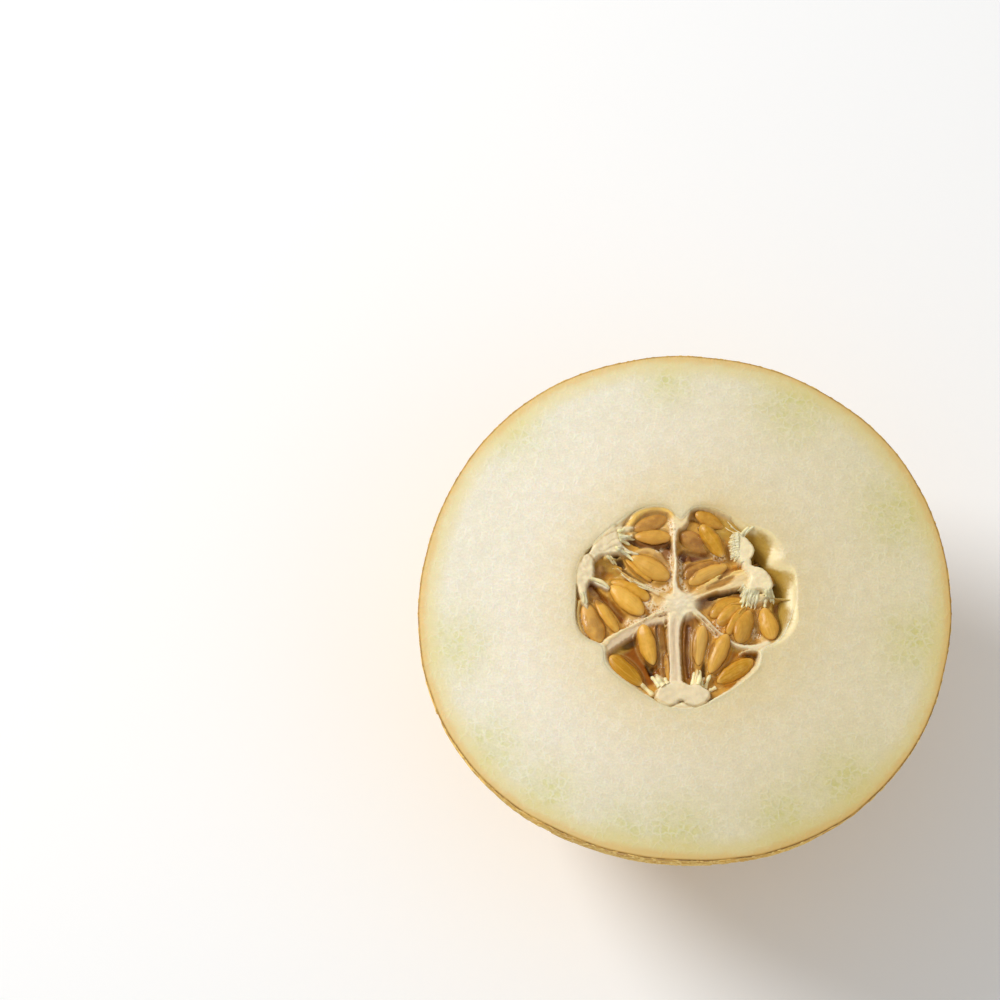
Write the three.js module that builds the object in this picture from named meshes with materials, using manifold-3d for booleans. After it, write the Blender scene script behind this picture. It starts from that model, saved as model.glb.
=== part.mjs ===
// Half of a netted galia melon, cut across its middle and resting on its rind with the cut face up.
// Millimetres, +Z up. The origin is under the middle of the fruit, on the surface it rests on.
// Two solids: the shell of flesh and rind with its seed hollow, and the seed core that fills the hollow.

import * as THREE from "three";
import { mergeVertices } from "three/addons/utils/BufferGeometryUtils.js";
import Module from "manifold-3d";

const degree = Math.PI / 180;

// Driving dimensions of the fruit.
const faceRadius = 67.95;
const faceHeight = 71.5;
const restRadius = 9;
const domeRoundness = 2;

// The cut runs this far past the fruit's widest level, so the rind leans in from the edge of the face.
const cutPast = 6;

// Slow waves of the cut outline: how far each one reaches, how often it repeats, where it peaks.
const outlineWaves = [
  { reach: 0.73, count: 2, peak: 15.3 },
  { reach: 0.31, count: 3, peak: 321.3 },
  { reach: 0.55, count: 4, peak: 36.1 },
];

// The seed hollow: its middle on the cut face, mean radius, depth, and its local swells and notches.
const hollowCentre = { x: -1.0, y: 0.4 };
const hollowRadius = 25.4;
const hollowDepth = 45;
const hollowRoundness = 2.3;
const hollowLobes = [
  { angle: 16, swell: 3.9, spread: 36 },
  { angle: 72, swell: 0.9, spread: 12 },
  { angle: 90, swell: -3.2, spread: 5 },
  { angle: 110, swell: 1.1, spread: 12 },
  { angle: 155, swell: 1.9, spread: 45 },
  { angle: 158, swell: 1.0, spread: 11 },
  { angle: 193, swell: 1.3, spread: 13 },
  { angle: 209, swell: -2.7, spread: 7.5 },
  { angle: 270, swell: 2.4, spread: 19 },
  { angle: 329, swell: -2.3, spread: 7 },
];

// The core keeps this gap to the flesh, and has drawn back further on one side.
const fitGap = 0.35;
const seedInset = 0.3;
const drawnBack = { angle: 27, width: 5.8, spread: 20, fade: 0.6 };

// Relief of the core's top, measured from the cut face.
const rimDrop = 0.6;
const rimStart = 0.75;
const pulpDrop = 2.2;
const pocketDrop = 4.2;
const pocketRadius = 8.5;
const pocketReach = 14.5;
const pocketAngles = [58, 125, 187, 238, 301, 352];
const septumDrop = 0.4;
const hubRadius = 3.6;
const edgePower = 4;
const ridgeEdge = 0.7;

// Septa run from the hub to the notches; stalks run to the three pairs of placenta lobes.
const septa = [
  { angle: 90, reach: 22.5, halfWidth: 1.3 },
  { angle: 210, reach: 23, halfWidth: 1.3 },
  { angle: 330, reach: 23.5, halfWidth: 1.2 },
];
const stalks = [
  { angle: 270, reach: 21, halfWidth: 2.0 },
  { angle: 152, reach: 20, halfWidth: 2.2 },
  { angle: 22, reach: 18, halfWidth: 2.6 },
];
const lobes = [
  { angle: 262, reach: 24.2, radius: 3.6, rise: 0.1 },
  { angle: 278.5, reach: 24.0, radius: 3.6, rise: 0.1 },
  { angle: 139, reach: 25.2, radius: 3.2, rise: 0.0 },
  { angle: 164, reach: 26.0, radius: 3.2, rise: 0.0 },
  { angle: 43, reach: 20.0, radius: 4.0, rise: 1.6 },
  { angle: 17, reach: 20.0, radius: 4.2, rise: 1.6 },
];

// A seed in its skin, bedded in jelly down to a depth, and where the seeds lie: place, turn, and rise.
const seed = { length: 11.6, width: 5.0, thickness: 2.6, bedDepth: 8 };
const seedPlaces = [
  { x: -9.2, y: 22.6, turn: 20, rise: -0.8 },
  { x: -8.3, y: 18.5, turn: 6, rise: -0.9 },
  { x: -9.0, y: 9.8, turn: -30, rise: -1.0 },
  { x: -15.2, y: 1.6, turn: -42, rise: -0.6 },
  { x: -19.2, y: -3.4, turn: -62, rise: -0.9 },
  { x: -23.9, y: -4.2, turn: -64, rise: -1.2 },
  { x: -9.8, y: -9.5, turn: -73, rise: -0.7 },
  { x: -15.4, y: -17.4, turn: -42, rise: -1.0 },
  { x: 3.9, y: -10.6, turn: 84, rise: -0.9 },
  { x: 8.9, y: -12.7, turn: 65, rise: -0.7 },
  { x: 12.9, y: -18.8, turn: 38, rise: -1.0 },
  { x: 10.4, y: -1.2, turn: 40, rise: -1.1 },
  { x: 15.0, y: -5.2, turn: 66, rise: -0.7 },
  { x: 22.2, y: -5.2, turn: -60, rise: -1.0 },
  { x: 5.7, y: 23.6, turn: -26, rise: -1.2 },
  { x: 7.3, y: 17.1, turn: -54, rise: -0.2 },
  { x: 5.6, y: 7.8, turn: 26, rise: -0.8 },
];

// Fineness of the facets.
const turnSteps = 72;
const domeSteps = 11;
const faceSteps = 2;
const hollowSteps = 7;
const topSteps = 14;
const seedTurnSteps = 10;
const seedEndSteps = 6;
const weldDistance = 1e-4;

function bump(angle, centre, spread) {
  const away = ((((angle - centre) % 360) + 540) % 360) - 180;
  return Math.exp(-((away / spread) ** 2));
}

function faceOutline(angle) {
  const waves = outlineWaves.map((wave) => wave.reach * Math.cos(wave.count * (angle - wave.peak) * degree));
  return waves.reduce((sum, wave) => sum + wave, faceRadius);
}

function hollowOutline(angle) {
  const swells = hollowLobes.map((lobe) => lobe.swell * bump(angle, lobe.angle, lobe.spread));
  return swells.reduce((sum, swell) => sum + swell, hollowRadius);
}

function polar(centre, angle, radius, height) {
  const x = centre.x + radius * Math.cos(angle * degree);
  const y = centre.y + radius * Math.sin(angle * degree);
  return new THREE.Vector3(x, y, height);
}

// A closed shell from rings that all turn the same way, between a first and a last single point.
function closedShell(firstPoint, rings, lastPoint) {
  const points = [firstPoint, ...rings.flat(), lastPoint];
  const faces = [];
  const pointIndex = (ring, step) => 1 + ring * turnSteps + (step % turnSteps);
  const lastIndex = points.length - 1;
  for (let step = 0; step < turnSteps; step += 1) {
    faces.push(0, pointIndex(0, step + 1), pointIndex(0, step));
    for (let ring = 0; ring < rings.length - 1; ring += 1) {
      const near = pointIndex(ring, step);
      const beside = pointIndex(ring, step + 1);
      const above = pointIndex(ring + 1, step);
      const across = pointIndex(ring + 1, step + 1);
      faces.push(near, beside, above, beside, across, above);
    }
    faces.push(pointIndex(rings.length - 1, step), pointIndex(rings.length - 1, step + 1), lastIndex);
  }
  const geometry = new THREE.BufferGeometry();
  const positions = points.flatMap((point) => [point.x, point.y, point.z]);
  geometry.setAttribute("position", new THREE.Float32BufferAttribute(positions, 3));
  geometry.setIndex(faces);
  return geometry;
}

function ringOf(pointAt) {
  return Array.from({ length: turnSteps }, (unused, step) => pointAt((360 * step) / turnSteps));
}

// The rind: a rounded dome from the flat spot that it rests on up to the edge of the cut face.
function domeRings() {
  const middle = { x: 0, y: 0 };
  const restShare = (restRadius / faceRadius) ** domeRoundness;
  const midToRest = (faceHeight + cutPast) ** domeRoundness - restShare * cutPast ** domeRoundness;
  const fullDepth = (midToRest / (1 - restShare)) ** (1 / domeRoundness);
  const faceTurn = Math.asin((cutPast / fullDepth) ** (domeRoundness / 2));
  const restTurn = Math.asin(((faceHeight + cutPast) / fullDepth) ** (domeRoundness / 2));
  const rings = [];
  for (let step = 0; step <= domeSteps; step += 1) {
    const turn = THREE.MathUtils.lerp(restTurn, faceTurn, step / domeSteps);
    const widthShare = (Math.cos(turn) / Math.cos(faceTurn)) ** (2 / domeRoundness);
    const level = faceHeight + cutPast - fullDepth * Math.sin(turn) ** (2 / domeRoundness);
    rings.push(ringOf((angle) => polar(middle, angle, faceOutline(angle) * widthShare, level)));
  }
  for (const point of rings[0]) {
    point.z = 0;
  }
  return rings;
}

function hollowPoint(angle, depthShare, inset) {
  const turn = (depthShare * Math.PI) / 2;
  const radius = (hollowOutline(angle) - inset) * Math.cos(turn) ** (2 / hollowRoundness);
  const drop = (hollowDepth - inset) * Math.sin(turn) ** (2 / hollowRoundness);
  return polar(hollowCentre, angle, radius, faceHeight - drop);
}

function cutFaceRings() {
  const rings = [];
  for (let step = 1; step <= faceSteps; step += 1) {
    const share = step / faceSteps;
    rings.push(ringOf((angle) => {
      const outer = polar({ x: 0, y: 0 }, angle, faceOutline(angle), faceHeight);
      return outer.lerp(hollowPoint(angle, 0, 0), share);
    }));
  }
  return rings;
}

function hollowRings() {
  const rings = [];
  for (let step = 1; step < hollowSteps; step += 1) {
    rings.push(ringOf((angle) => hollowPoint(angle, step / hollowSteps, 0)));
  }
  return rings;
}

function fleshGeometry() {
  const restPoint = new THREE.Vector3(0, 0, 0);
  const hollowFloor = polar(hollowCentre, 0, 0, faceHeight - hollowDepth);
  return closedShell(restPoint, [...domeRings(), ...cutFaceRings(), ...hollowRings()], hollowFloor);
}

function ridge(x, y, arm) {
  const direction = { x: Math.cos(arm.angle * degree), y: Math.sin(arm.angle * degree) };
  const along = x * direction.x + y * direction.y;
  const beside = Math.abs(y * direction.x - x * direction.y);
  const past = Math.max(0, -along, along - arm.reach);
  const away = Math.hypot(beside, past);
  return Math.exp(-((away / arm.halfWidth) ** edgePower) * ridgeEdge);
}

// Height of the core's top over the cut face, at a place measured from the middle of the hollow.
function topRelief(x, y, rimShare) {
  let height = -THREE.MathUtils.lerp(pulpDrop, rimDrop, THREE.MathUtils.smoothstep(rimShare, rimStart, 1));
  for (const angle of pocketAngles) {
    const centre = polar({ x: 0, y: 0 }, angle, pocketReach, 0);
    const away = Math.hypot(x - centre.x, y - centre.y);
    height -= pocketDrop * Math.exp(-((away / pocketRadius) ** edgePower));
  }
  const hub = Math.exp(-((Math.hypot(x, y) / hubRadius) ** 2));
  const white = Math.max(hub, ...[...septa, ...stalks].map((arm) => ridge(x, y, arm)));
  height = THREE.MathUtils.lerp(height, -septumDrop, white);
  for (const lobe of lobes) {
    const centre = polar({ x: 0, y: 0 }, lobe.angle, lobe.reach, 0);
    const away = Math.hypot(x - centre.x, y - centre.y) / lobe.radius;
    height = THREE.MathUtils.lerp(height, lobe.rise, Math.exp(-(away ** edgePower)));
  }
  return height;
}

// The core draws back from the flesh on one side, most at the cut face and hardly at all deep down.
function coreSidePoint(angle, depthShare, inset = fitGap) {
  const width = drawnBack.width * bump(angle, drawnBack.angle, drawnBack.spread);
  const room = width * (1 - depthShare) ** drawnBack.fade;
  const point = hollowPoint(angle, depthShare, inset + room);
  point.z = Math.min(point.z, faceHeight - rimDrop);
  return point;
}

// The space that the seeds keep within: the core's own sides, carried straight up past the cut face.
function seedSpaceGeometry() {
  const inset = fitGap + seedInset;
  const rings = [];
  for (let step = hollowSteps - 1; step >= 0; step -= 1) {
    rings.push(ringOf((angle) => coreSidePoint(angle, step / hollowSteps, inset)));
  }
  const level = faceHeight + seed.length;
  rings.push(ringOf((angle) => coreSidePoint(angle, 0, inset).setZ(level)));
  const lowest = polar(hollowCentre, 0, 0, faceHeight - hollowDepth + inset);
  return closedShell(lowest, rings, polar(hollowCentre, 0, 0, level));
}

function coreRings() {
  const rings = [];
  for (let step = hollowSteps - 1; step >= 0; step -= 1) {
    rings.push(ringOf((angle) => coreSidePoint(angle, step / hollowSteps)));
  }
  for (let step = topSteps - 1; step >= 1; step -= 1) {
    rings.push(ringOf((angle) => {
      const rim = coreSidePoint(angle, 0);
      const share = step / topSteps;
      const x = (rim.x - hollowCentre.x) * share;
      const y = (rim.y - hollowCentre.y) * share;
      return new THREE.Vector3(hollowCentre.x + x, hollowCentre.y + y, faceHeight + topRelief(x, y, share));
    }));
  }
  return rings;
}

function coreBodyGeometry() {
  const lowest = polar(hollowCentre, 0, 0, faceHeight - hollowDepth + fitGap);
  const hubTop = polar(hollowCentre, 0, 0, faceHeight + topRelief(0, 0, 0));
  return closedShell(lowest, coreRings(), hubTop);
}

// The upper half is the seed; the lower half is the jelly under it, which reaches down into the pulp.
function seedGeometry(place) {
  const geometry = new THREE.SphereGeometry(0.5, seedTurnSteps, seedEndSteps);
  geometry.rotateZ(90 * degree);
  const position = geometry.attributes.position;
  for (let index = 0; index < position.count; index += 1) {
    const height = position.getZ(index);
    const stretch = height < 0 ? 2 * seed.bedDepth : seed.thickness;
    position.setZ(index, height * stretch);
  }
  geometry.scale(seed.length, seed.width, 1);
  geometry.rotateZ(place.turn * degree);
  geometry.translate(place.x, place.y, faceHeight + place.rise);
  return geometry;
}

const wasm = await Module();
wasm.setup();

function toSolid(geometry) {
  geometry.deleteAttribute("normal");
  geometry.deleteAttribute("uv");
  const merged = mergeVertices(geometry, weldDistance);
  const vertProperties = new Float32Array(merged.attributes.position.array);
  const triVerts = new Uint32Array(merged.index.array);
  return new wasm.Manifold(new wasm.Mesh({ numProp: 3, vertProperties, triVerts }));
}

function toGeometry(solid) {
  const mesh = solid.getMesh();
  const geometry = new THREE.BufferGeometry();
  geometry.setAttribute("position", new THREE.BufferAttribute(new Float32Array(mesh.vertProperties), 3));
  geometry.setIndex(new THREE.BufferAttribute(new Uint32Array(mesh.triVerts), 1));
  geometry.computeVertexNormals();
  return geometry;
}

// Pulp, septa and placentas in one body, with the seeds that stand out of it joined on.
function seedCoreGeometry() {
  const seedSpace = toSolid(seedSpaceGeometry());
  let core = toSolid(coreBodyGeometry());
  for (const place of seedPlaces) {
    core = core.add(toSolid(seedGeometry(place)).intersect(seedSpace));
  }
  return toGeometry(core);
}

function namedMesh(name, geometry, color, roughness) {
  const material = new THREE.MeshStandardMaterial({ color, roughness, metalness: 0 });
  const mesh = new THREE.Mesh(geometry, material);
  mesh.name = name;
  return mesh;
}

const melonHalf = new THREE.Group();
melonHalf.add(namedMesh("flesh_and_rind", toGeometry(toSolid(fleshGeometry())), 0xe9dfb4, 0.45));
melonHalf.add(namedMesh("seed_core", seedCoreGeometry(), 0xc9973f, 0.3));

export default melonHalf;
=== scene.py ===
import math
import random
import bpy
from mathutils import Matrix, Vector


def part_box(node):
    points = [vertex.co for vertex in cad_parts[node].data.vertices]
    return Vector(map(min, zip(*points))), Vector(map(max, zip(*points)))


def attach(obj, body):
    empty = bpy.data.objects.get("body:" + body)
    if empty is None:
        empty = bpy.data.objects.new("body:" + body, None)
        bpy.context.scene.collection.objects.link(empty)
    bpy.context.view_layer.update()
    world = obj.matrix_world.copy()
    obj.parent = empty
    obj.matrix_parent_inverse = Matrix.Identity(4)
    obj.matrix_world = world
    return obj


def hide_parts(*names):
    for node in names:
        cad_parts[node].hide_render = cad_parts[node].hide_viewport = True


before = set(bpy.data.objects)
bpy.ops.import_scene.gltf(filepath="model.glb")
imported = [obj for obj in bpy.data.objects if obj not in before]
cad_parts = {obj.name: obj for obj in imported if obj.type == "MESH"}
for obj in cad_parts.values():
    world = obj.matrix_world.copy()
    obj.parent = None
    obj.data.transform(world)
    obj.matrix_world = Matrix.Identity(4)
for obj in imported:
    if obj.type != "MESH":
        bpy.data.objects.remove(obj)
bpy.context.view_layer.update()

from types import SimpleNamespace

import bmesh
import bpy
import numpy as np
from mathutils import Matrix, Vector, noise
from mathutils.bvhtree import BVHTree

mm = 0.001
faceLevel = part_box("flesh_and_rind")[1].z / mm
print("frame loaded, cut face at", round(faceLevel, 2), "mm")

# The fruit's own shape in millimetres, as the solids have it; change them together.
fruit = {
    "faceRadius": 67.95,
    "restRadius": 9.0,
    "roundness": 2.0,
    "cutPast": 6.0,
    # reach of each wave of the outline, how many go round, angle of a crest
    "waves": ((0.73, 2, 15.3), (0.31, 3, 321.3), (0.55, 4, 36.1)),
    "hollowMiddle": (-1.0, 0.4),
    "hollowRadius": 25.4,
    "hollowDepth": 45.0,
    "hollowRoundness": 2.3,
    # angle, spread and reach of each lobe or notch
    "hollowLobes": ((16, 36, 3.9), (72, 12, 0.9), (90, 5, -3.2), (110, 12, 1.1), (155, 45, 1.9),
                    (158, 11, 1.0), (193, 13, 1.3), (209, 7.5, -2.7), (270, 19, 2.4), (329, 7, -2.3)),
}
hollowMiddle = np.array(fruit["hollowMiddle"])
restShare = fruit["restRadius"] / fruit["faceRadius"]
# the dome's curve, from the fruit's widest level, which lies cutPast above the cut
curve = fruit["roundness"]
fullDepth = (((faceLevel + fruit["cutPast"]) ** curve - (restShare * fruit["cutPast"]) ** curve)
             / (1 - restShare ** curve)) ** (1 / curve)
faceTurn = math.asin((fruit["cutPast"] / fullDepth) ** (curve / 2))
restTurn = math.asin(((faceLevel + fruit["cutPast"]) / fullDepth) ** (curve / 2))


def evenAngles(count):
    return np.arange(count) * (360.0 / count)


def rays(angle):
    return np.stack([np.cos(np.radians(angle)), np.sin(np.radians(angle))], -1)


def lifted(flat, height):
    return np.column_stack([flat, np.broadcast_to(height, len(flat))])


def bump(angle, middle, spread):
    away = (np.asarray(angle, float) - middle + 540.0) % 360.0 - 180.0
    return np.exp(-((away / spread) ** 2))


def swollen(start, swells, angle):
    # a size that swells by some amount at some angles
    size = np.full_like(np.asarray(angle, float), start)
    for middle, spread, swell in swells:
        size = size + swell * bump(angle, middle, spread)
    return size


def faceOutline(angle):
    radius = np.full_like(np.asarray(angle, float), fruit["faceRadius"])
    for reach, count, peak in fruit["waves"]:
        radius = radius + reach * np.cos(np.radians(count * (angle - peak)))
    return radius


def hollowOutline(angle):
    return swollen(fruit["hollowRadius"], fruit["hollowLobes"], angle)


def hollowPoints(angle, radius):
    return hollowMiddle + rays(angle) * radius[:, None]


def hollowWall(turn):
    # how wide and how deep the hollow is at a turn from its outline to its foot, as shares
    return [side(turn) ** (2 / fruit["hollowRoundness"]) for side in (math.cos, math.sin)]


def smoothStep(low, high, value):
    share = np.clip((np.asarray(value, float) - low) / (high - low), 0.0, 1.0)
    return share * share * (3.0 - 2.0 * share)


def noiseAt(points, size, seedShift=0.0, octaves=2):
    # smooth noise of about -1 to 1 at each point, with features as large as size
    shift = Vector((seedShift, seedShift * 0.37, -seedShift * 0.61))
    return np.array([noise.fractal(Vector(p) / size + shift, 1.0, 2.0, octaves) for p in points])


def linear(red, green, blue):
    # a colour as seen on a screen, from 0 to 255, as a linear colour for a shader
    values = [v / 255.0 for v in (red, green, blue)]
    return tuple(v / 12.92 if v <= 0.04045 else ((v + 0.055) / 1.055) ** 2.4 for v in values) + (1.0,)


def makeObject(name, points, faces, edges=(), smooth=True):
    mesh = bpy.data.meshes.new(name)
    places = [tuple(p) for p in np.asarray(points) * mm]
    mesh.from_pydata(places, edges, [tuple(int(i) for i in face) for face in faces])
    mesh.update()
    if smooth:
        mesh.shade_smooth()
    thing = bpy.data.objects.new(name, mesh)
    bpy.context.scene.collection.objects.link(thing)
    return thing


def ringFaces(ringCount, turnCount, start):
    ring = np.arange(ringCount - 1)[:, None] * turnCount + start
    step = np.arange(turnCount)[None, :]
    beside = (step + 1) % turnCount
    quads = np.stack([ring + step, ring + beside, ring + turnCount + beside, ring + turnCount + step], -1)
    return quads.reshape(-1, 4)


def makeClosed(name, bodies):
    # closed bodies in one object: each has rings of points, all turning the same way, between
    # the two single points that close its ends
    points, faces = [], []
    for first, rings, last in bodies:
        start, count = len(points), rings.shape[1]
        points += [first, *rings.reshape(-1, 3), last]
        end = len(points) - 1
        faces += list(ringFaces(len(rings), count, start + 1))
        for step in range(count):
            beside = (step + 1) % count
            faces.append((start, start + 1 + beside, start + 1 + step))
            faces.append((end - count + step, end - count + beside, end))
    return makeObject(name, points, faces), np.array(points)


def pointOutwards(piece):
    shape = bmesh.new()
    shape.from_mesh(piece.data)
    bmesh.ops.recalc_face_normals(shape, faces=shape.faces)
    shape.to_mesh(piece.data)
    shape.free()


def setValues(thing, name, values):
    # a number or a colour for each point
    values = np.asarray(values, np.float32)
    kind, field = ("FLOAT", "value") if values.ndim == 1 else ("FLOAT_COLOR", "color")
    attribute = thing.data.attributes.new(name, kind, "POINT")
    attribute.data.foreach_set(field, values.ravel())


# Camera at the photo's angle, lights and floor.
cameraPlace = {"eye": (-67.8, -252.9, faceLevel + 913.2), "aim": (-47.5, 27.6, faceLevel), "lens": 133.7,
               "sensor": 36, "farthest": 20}
studio = {
    "lights": {"keyLight": ((-1080, 620, 1090), 720, 19.8), "fillLight": ((420, -250, 620), 600, 0.45)},
    "sky": 0.47,
    "floorSize": 6000,
    "floor": {"Base Color": (0.96, 0.96, 0.955, 1), "Roughness": 0.9},
}


def makeCamera():
    eye = Vector(cameraPlace["eye"]) * mm
    ahead = (Vector(cameraPlace["aim"]) * mm - eye).normalized()
    right = ahead.cross(Vector((0, 1, 0))).normalized()
    up = right.cross(ahead)
    data = bpy.data.cameras.new("photoView")
    data.lens = cameraPlace["lens"]
    data.sensor_width = cameraPlace["sensor"]
    data.clip_end = cameraPlace["farthest"]
    camera = bpy.data.objects.new("photoView", data)
    turn = Matrix((right, up, -ahead)).transposed().to_4x4()
    camera.matrix_world = Matrix.Translation(eye) @ turn
    bpy.context.scene.collection.objects.link(camera)
    bpy.context.scene.camera = camera


def makeLight(name, place, size, power):
    data = bpy.data.lights.new(name, "AREA")
    data.shape = "DISK"
    data.size = size * mm
    data.energy = power
    light = bpy.data.objects.new(name, data)
    light.location = Vector(place) * mm
    aim = Vector((0, 0, faceLevel * mm)) - light.location
    light.rotation_euler = aim.to_track_quat("-Z", "Y").to_euler()
    bpy.context.scene.collection.objects.link(light)


def makeStudio():
    scene = bpy.context.scene
    scene.view_settings.view_transform = "Standard"
    scene.world = bpy.data.worlds.new("studio")
    scene.world.use_nodes = True
    sky = scene.world.node_tree.nodes["Background"]
    sky.inputs["Color"].default_value = (1, 1, 1, 1)
    sky.inputs["Strength"].default_value = studio["sky"]
    for name, (place, size, power) in studio["lights"].items():
        makeLight(name, place, size, power)
    half = studio["floorSize"] / 2
    corners = [(-half, -half, 0), (half, -half, 0), (half, half, 0), (-half, half, 0)]
    floor = makeObject("floor", corners, [(0, 1, 2, 3)], smooth=False)
    floor.data.materials.append(newMaterial("paleFloor", studio["floor"])[0])
    print("camera, lights and floor")


noiseRoughness = 0.55


def newMaterial(name, settings):
    # settings are values of the shader's own sockets
    material = bpy.data.materials.new(name)
    material.use_nodes = True
    shader = material.node_tree.nodes["Principled BSDF"]
    for socket, value in settings.items():
        shader.inputs[socket].default_value = value
    return material, material.node_tree, shader


def addNode(tree, kind, inputs, output=0, **settings):
    # one node; inputs may be sockets to link or plain values, by name or number
    node = tree.nodes.new(kind)
    for key, value in settings.items():
        setattr(node, key, value)
    for key, value in inputs.items():
        if isinstance(value, bpy.types.NodeSocket):
            tree.links.new(value, node.inputs[key])
        else:
            node.inputs[key].default_value = value
    return node.outputs[output]


def addMath(tree, operation, first, *others):
    # the operation on the first two values, and then on its result and each further one
    for other in others:
        first = addNode(tree, "ShaderNodeMath", {0: first, 1: other}, operation=operation)
    return first


def addVector(tree, operation, first, second, output=0):
    return addNode(tree, "ShaderNodeVectorMath", {0: first, 1: second}, output, operation=operation)


def addScaled(tree, vector, factor):
    return addNode(tree, "ShaderNodeVectorMath", {0: vector, "Scale": factor}, operation="SCALE")


def addNoise(tree, place, size, detail, output="Fac", roughness=noiseRoughness):
    # noise with features of about size, in millimetres
    inputs = {"Vector": place, "Scale": 1.0 / (size * mm), "Detail": detail, "Roughness": roughness}
    return addNode(tree, "ShaderNodeTexNoise", inputs, output)


def addRange(tree, value, low, high, least=0.0, most=1.0, interpolation="SMOOTHSTEP"):
    inputs = {"Value": value, "From Min": low, "From Max": high, "To Min": least, "To Max": most}
    return addNode(tree, "ShaderNodeMapRange", inputs, interpolation_type=interpolation)


def addMix(tree, share, first, second, blend="MIX"):
    inputs = {0: share, 6: first, 7: second}
    return addNode(tree, "ShaderNodeMix", inputs, 2, data_type="RGBA", blend_type=blend)


def layTint(tree, colour, mask, tint, low, high, least=0.0, most=1.0):
    # lays a tint over a colour, its share going from least to most while the mask goes from low to high
    return addMix(tree, addRange(tree, mask, low, high, least, most), colour, tint)


def addPlace(tree):
    return addNode(tree, "ShaderNodeTexCoord", {}, "Object")


def addValue(tree, name):
    return addNode(tree, "ShaderNodeAttribute", {}, "Fac", attribute_name=name)


def addBump(tree, shader, height, distance, strength):
    inputs = {"Height": height, "Distance": distance * mm, "Strength": strength}
    tree.links.new(addNode(tree, "ShaderNodeBump", inputs), shader.inputs["Normal"])


def makeGrain():
    # a shader node group: fine grain that darkens and lightens a colour a little
    group = bpy.data.node_groups.new("tissueGrain", "ShaderNodeTree")
    for label, kind in (("Place", "Vector"), ("Colour", "Color"), ("Scale", "Float"), ("Detail", "Float"),
                        ("Dark", "Float"), ("Light", "Float")):
        group.interface.new_socket(label, in_out="INPUT", socket_type="NodeSocket" + kind)
    for label, kind in (("Colour", "Color"), ("Height", "Float")):
        group.interface.new_socket(label, in_out="OUTPUT", socket_type="NodeSocket" + kind)
    values = group.nodes.new("NodeGroupInput").outputs
    inputs = {"Vector": values["Place"], "Scale": values["Scale"], "Detail": values["Detail"]}
    inputs["Roughness"] = noiseRoughness
    height = addNode(group, "ShaderNodeTexNoise", inputs, "Fac")
    shade = addRange(group, height, 0.3, 0.7, values["Dark"], values["Light"])
    results = group.nodes.new("NodeGroupOutput").inputs
    group.links.new(addMix(group, 1.0, values["Colour"], shade, "MULTIPLY"), results["Colour"])
    group.links.new(height, results["Height"])
    return group


tissueGrain = makeGrain()


def addGrain(tree, place, colour, size, detail, dark, light):
    # the colour with grain of about size, in millimetres, and the grain's height
    inputs = {"Place": place, "Colour": colour, "Scale": 1.0 / (size * mm), "Detail": detail,
              "Dark": dark, "Light": light}
    grained = addNode(tree, "ShaderNodeGroup", inputs, "Colour", node_tree=tissueGrain)
    return grained, grained.node.outputs["Height"]


# Flesh and rind: the dome, the cut face, a soft lip round the hollow and the hollow's wall.
body = {
    "turnSteps": 420,
    "domeSteps": 90,
    "domeEase": 1.15,
    "faceSteps": 56,
    "faceEase": 1.25,
    "lipSteps": 8,
    "wallSteps": 34,
    "wallEase": 1.2,
    # how far the lip reaches out over the face and into the hollow, how deep it lies at the
    # hollow's outline and at its inner end
    "lip": (0.4, 0.0, 0.22, 0.5),
    # angle, spread and what is added to the four there
    "softLips": ((36, 13, (1.9, 0.0, 1.6, 0.0)), (38, 15, (0.0, 4.2, 0.0, 4.4)),
                 (12, 19, (0.8, 6.4, 0.6, 6.2)), (25.3, 6.5, (0.0, 0.0, -1.3, -2.1)),
                 (118, 20, (0.6, 0.0, 0.1, 0.2)), (-13, 11, (2.0, 0.8, 0.7, 0.9)),
                 (68, 9, (0.8, 0.0, 0.2, 0.3)), (235, 18, (0.3, 0.0, 0.1, 0.2)),
                 (168, 24, (0.3, 0.0, -0.14, -0.25))),
    # angle, spread and strength of the painted shade where the core meets the flesh
    "seamShades": ((108, 17, 0.5), (70, 14, 0.8), (160, 24, 0.55), (196, 12, 0.45), (238, 14, 0.4),
               (312, 14, 0.35)),
    "seamShadeReach": 1.5,
    # how far outside the hollow's outline the wall turns wet and olive
    "oliveStart": -0.1,
    "oliveLine": ((40, 8, 2.1), (25.3, 5, -3.6), (15, 5, 1.9), (3, 6, -1.0), (-9, 11, 2.2)),
    "oliveBlend": 3.4,
    "rimRound": 0.25,
    "foot": (0, 0, 1.1),
    "floorDepth": 40.0,
    "scar": ((0.16, 1.0), (0.3, 0.75), (0.5, 0.7), (0.8, 0.4), (0.95, 0.08)),
    # size and height of the skin's lumps and of the ripples in the cut face
    "lumps": (16.0, 0.3),
    "ripples": (11.0, 0.05),
    # greenish patches on the face: place and size
    "greens": ((-51, -39.5, 9), (-60, -12, 9), (-17, -61, 8), (-3, -60, 9), (40, -47, 10), (59, -9, 9),
               (55.5, 25, 10), (29, 54.5, 10), (-4, 60, 6), (-45, 47, 8), (24, -56, 8), (-36, -50, 8)),
}
# wetness and painted shade: 0 on the dry face, the first where the pale lip ends, the sum of both on
# the olive wall, and more the deeper down it is, where the added share is painted shade
wetnessAndShade = {"pale": 0.35, "olive": 0.45, "perMillimetre": 0.1, "deepShadeStart": 1.5, "most": 2.0}


def lipShape(angle):
    # the four sizes of the lip at each angle, in the order of body["lip"]
    sizes = []
    for number, start in enumerate(body["lip"]):
        swells = [(middle, spread, added[number]) for middle, spread, added in body["softLips"]]
        sizes.append(swollen(start, swells, angle))
    return sizes


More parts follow.
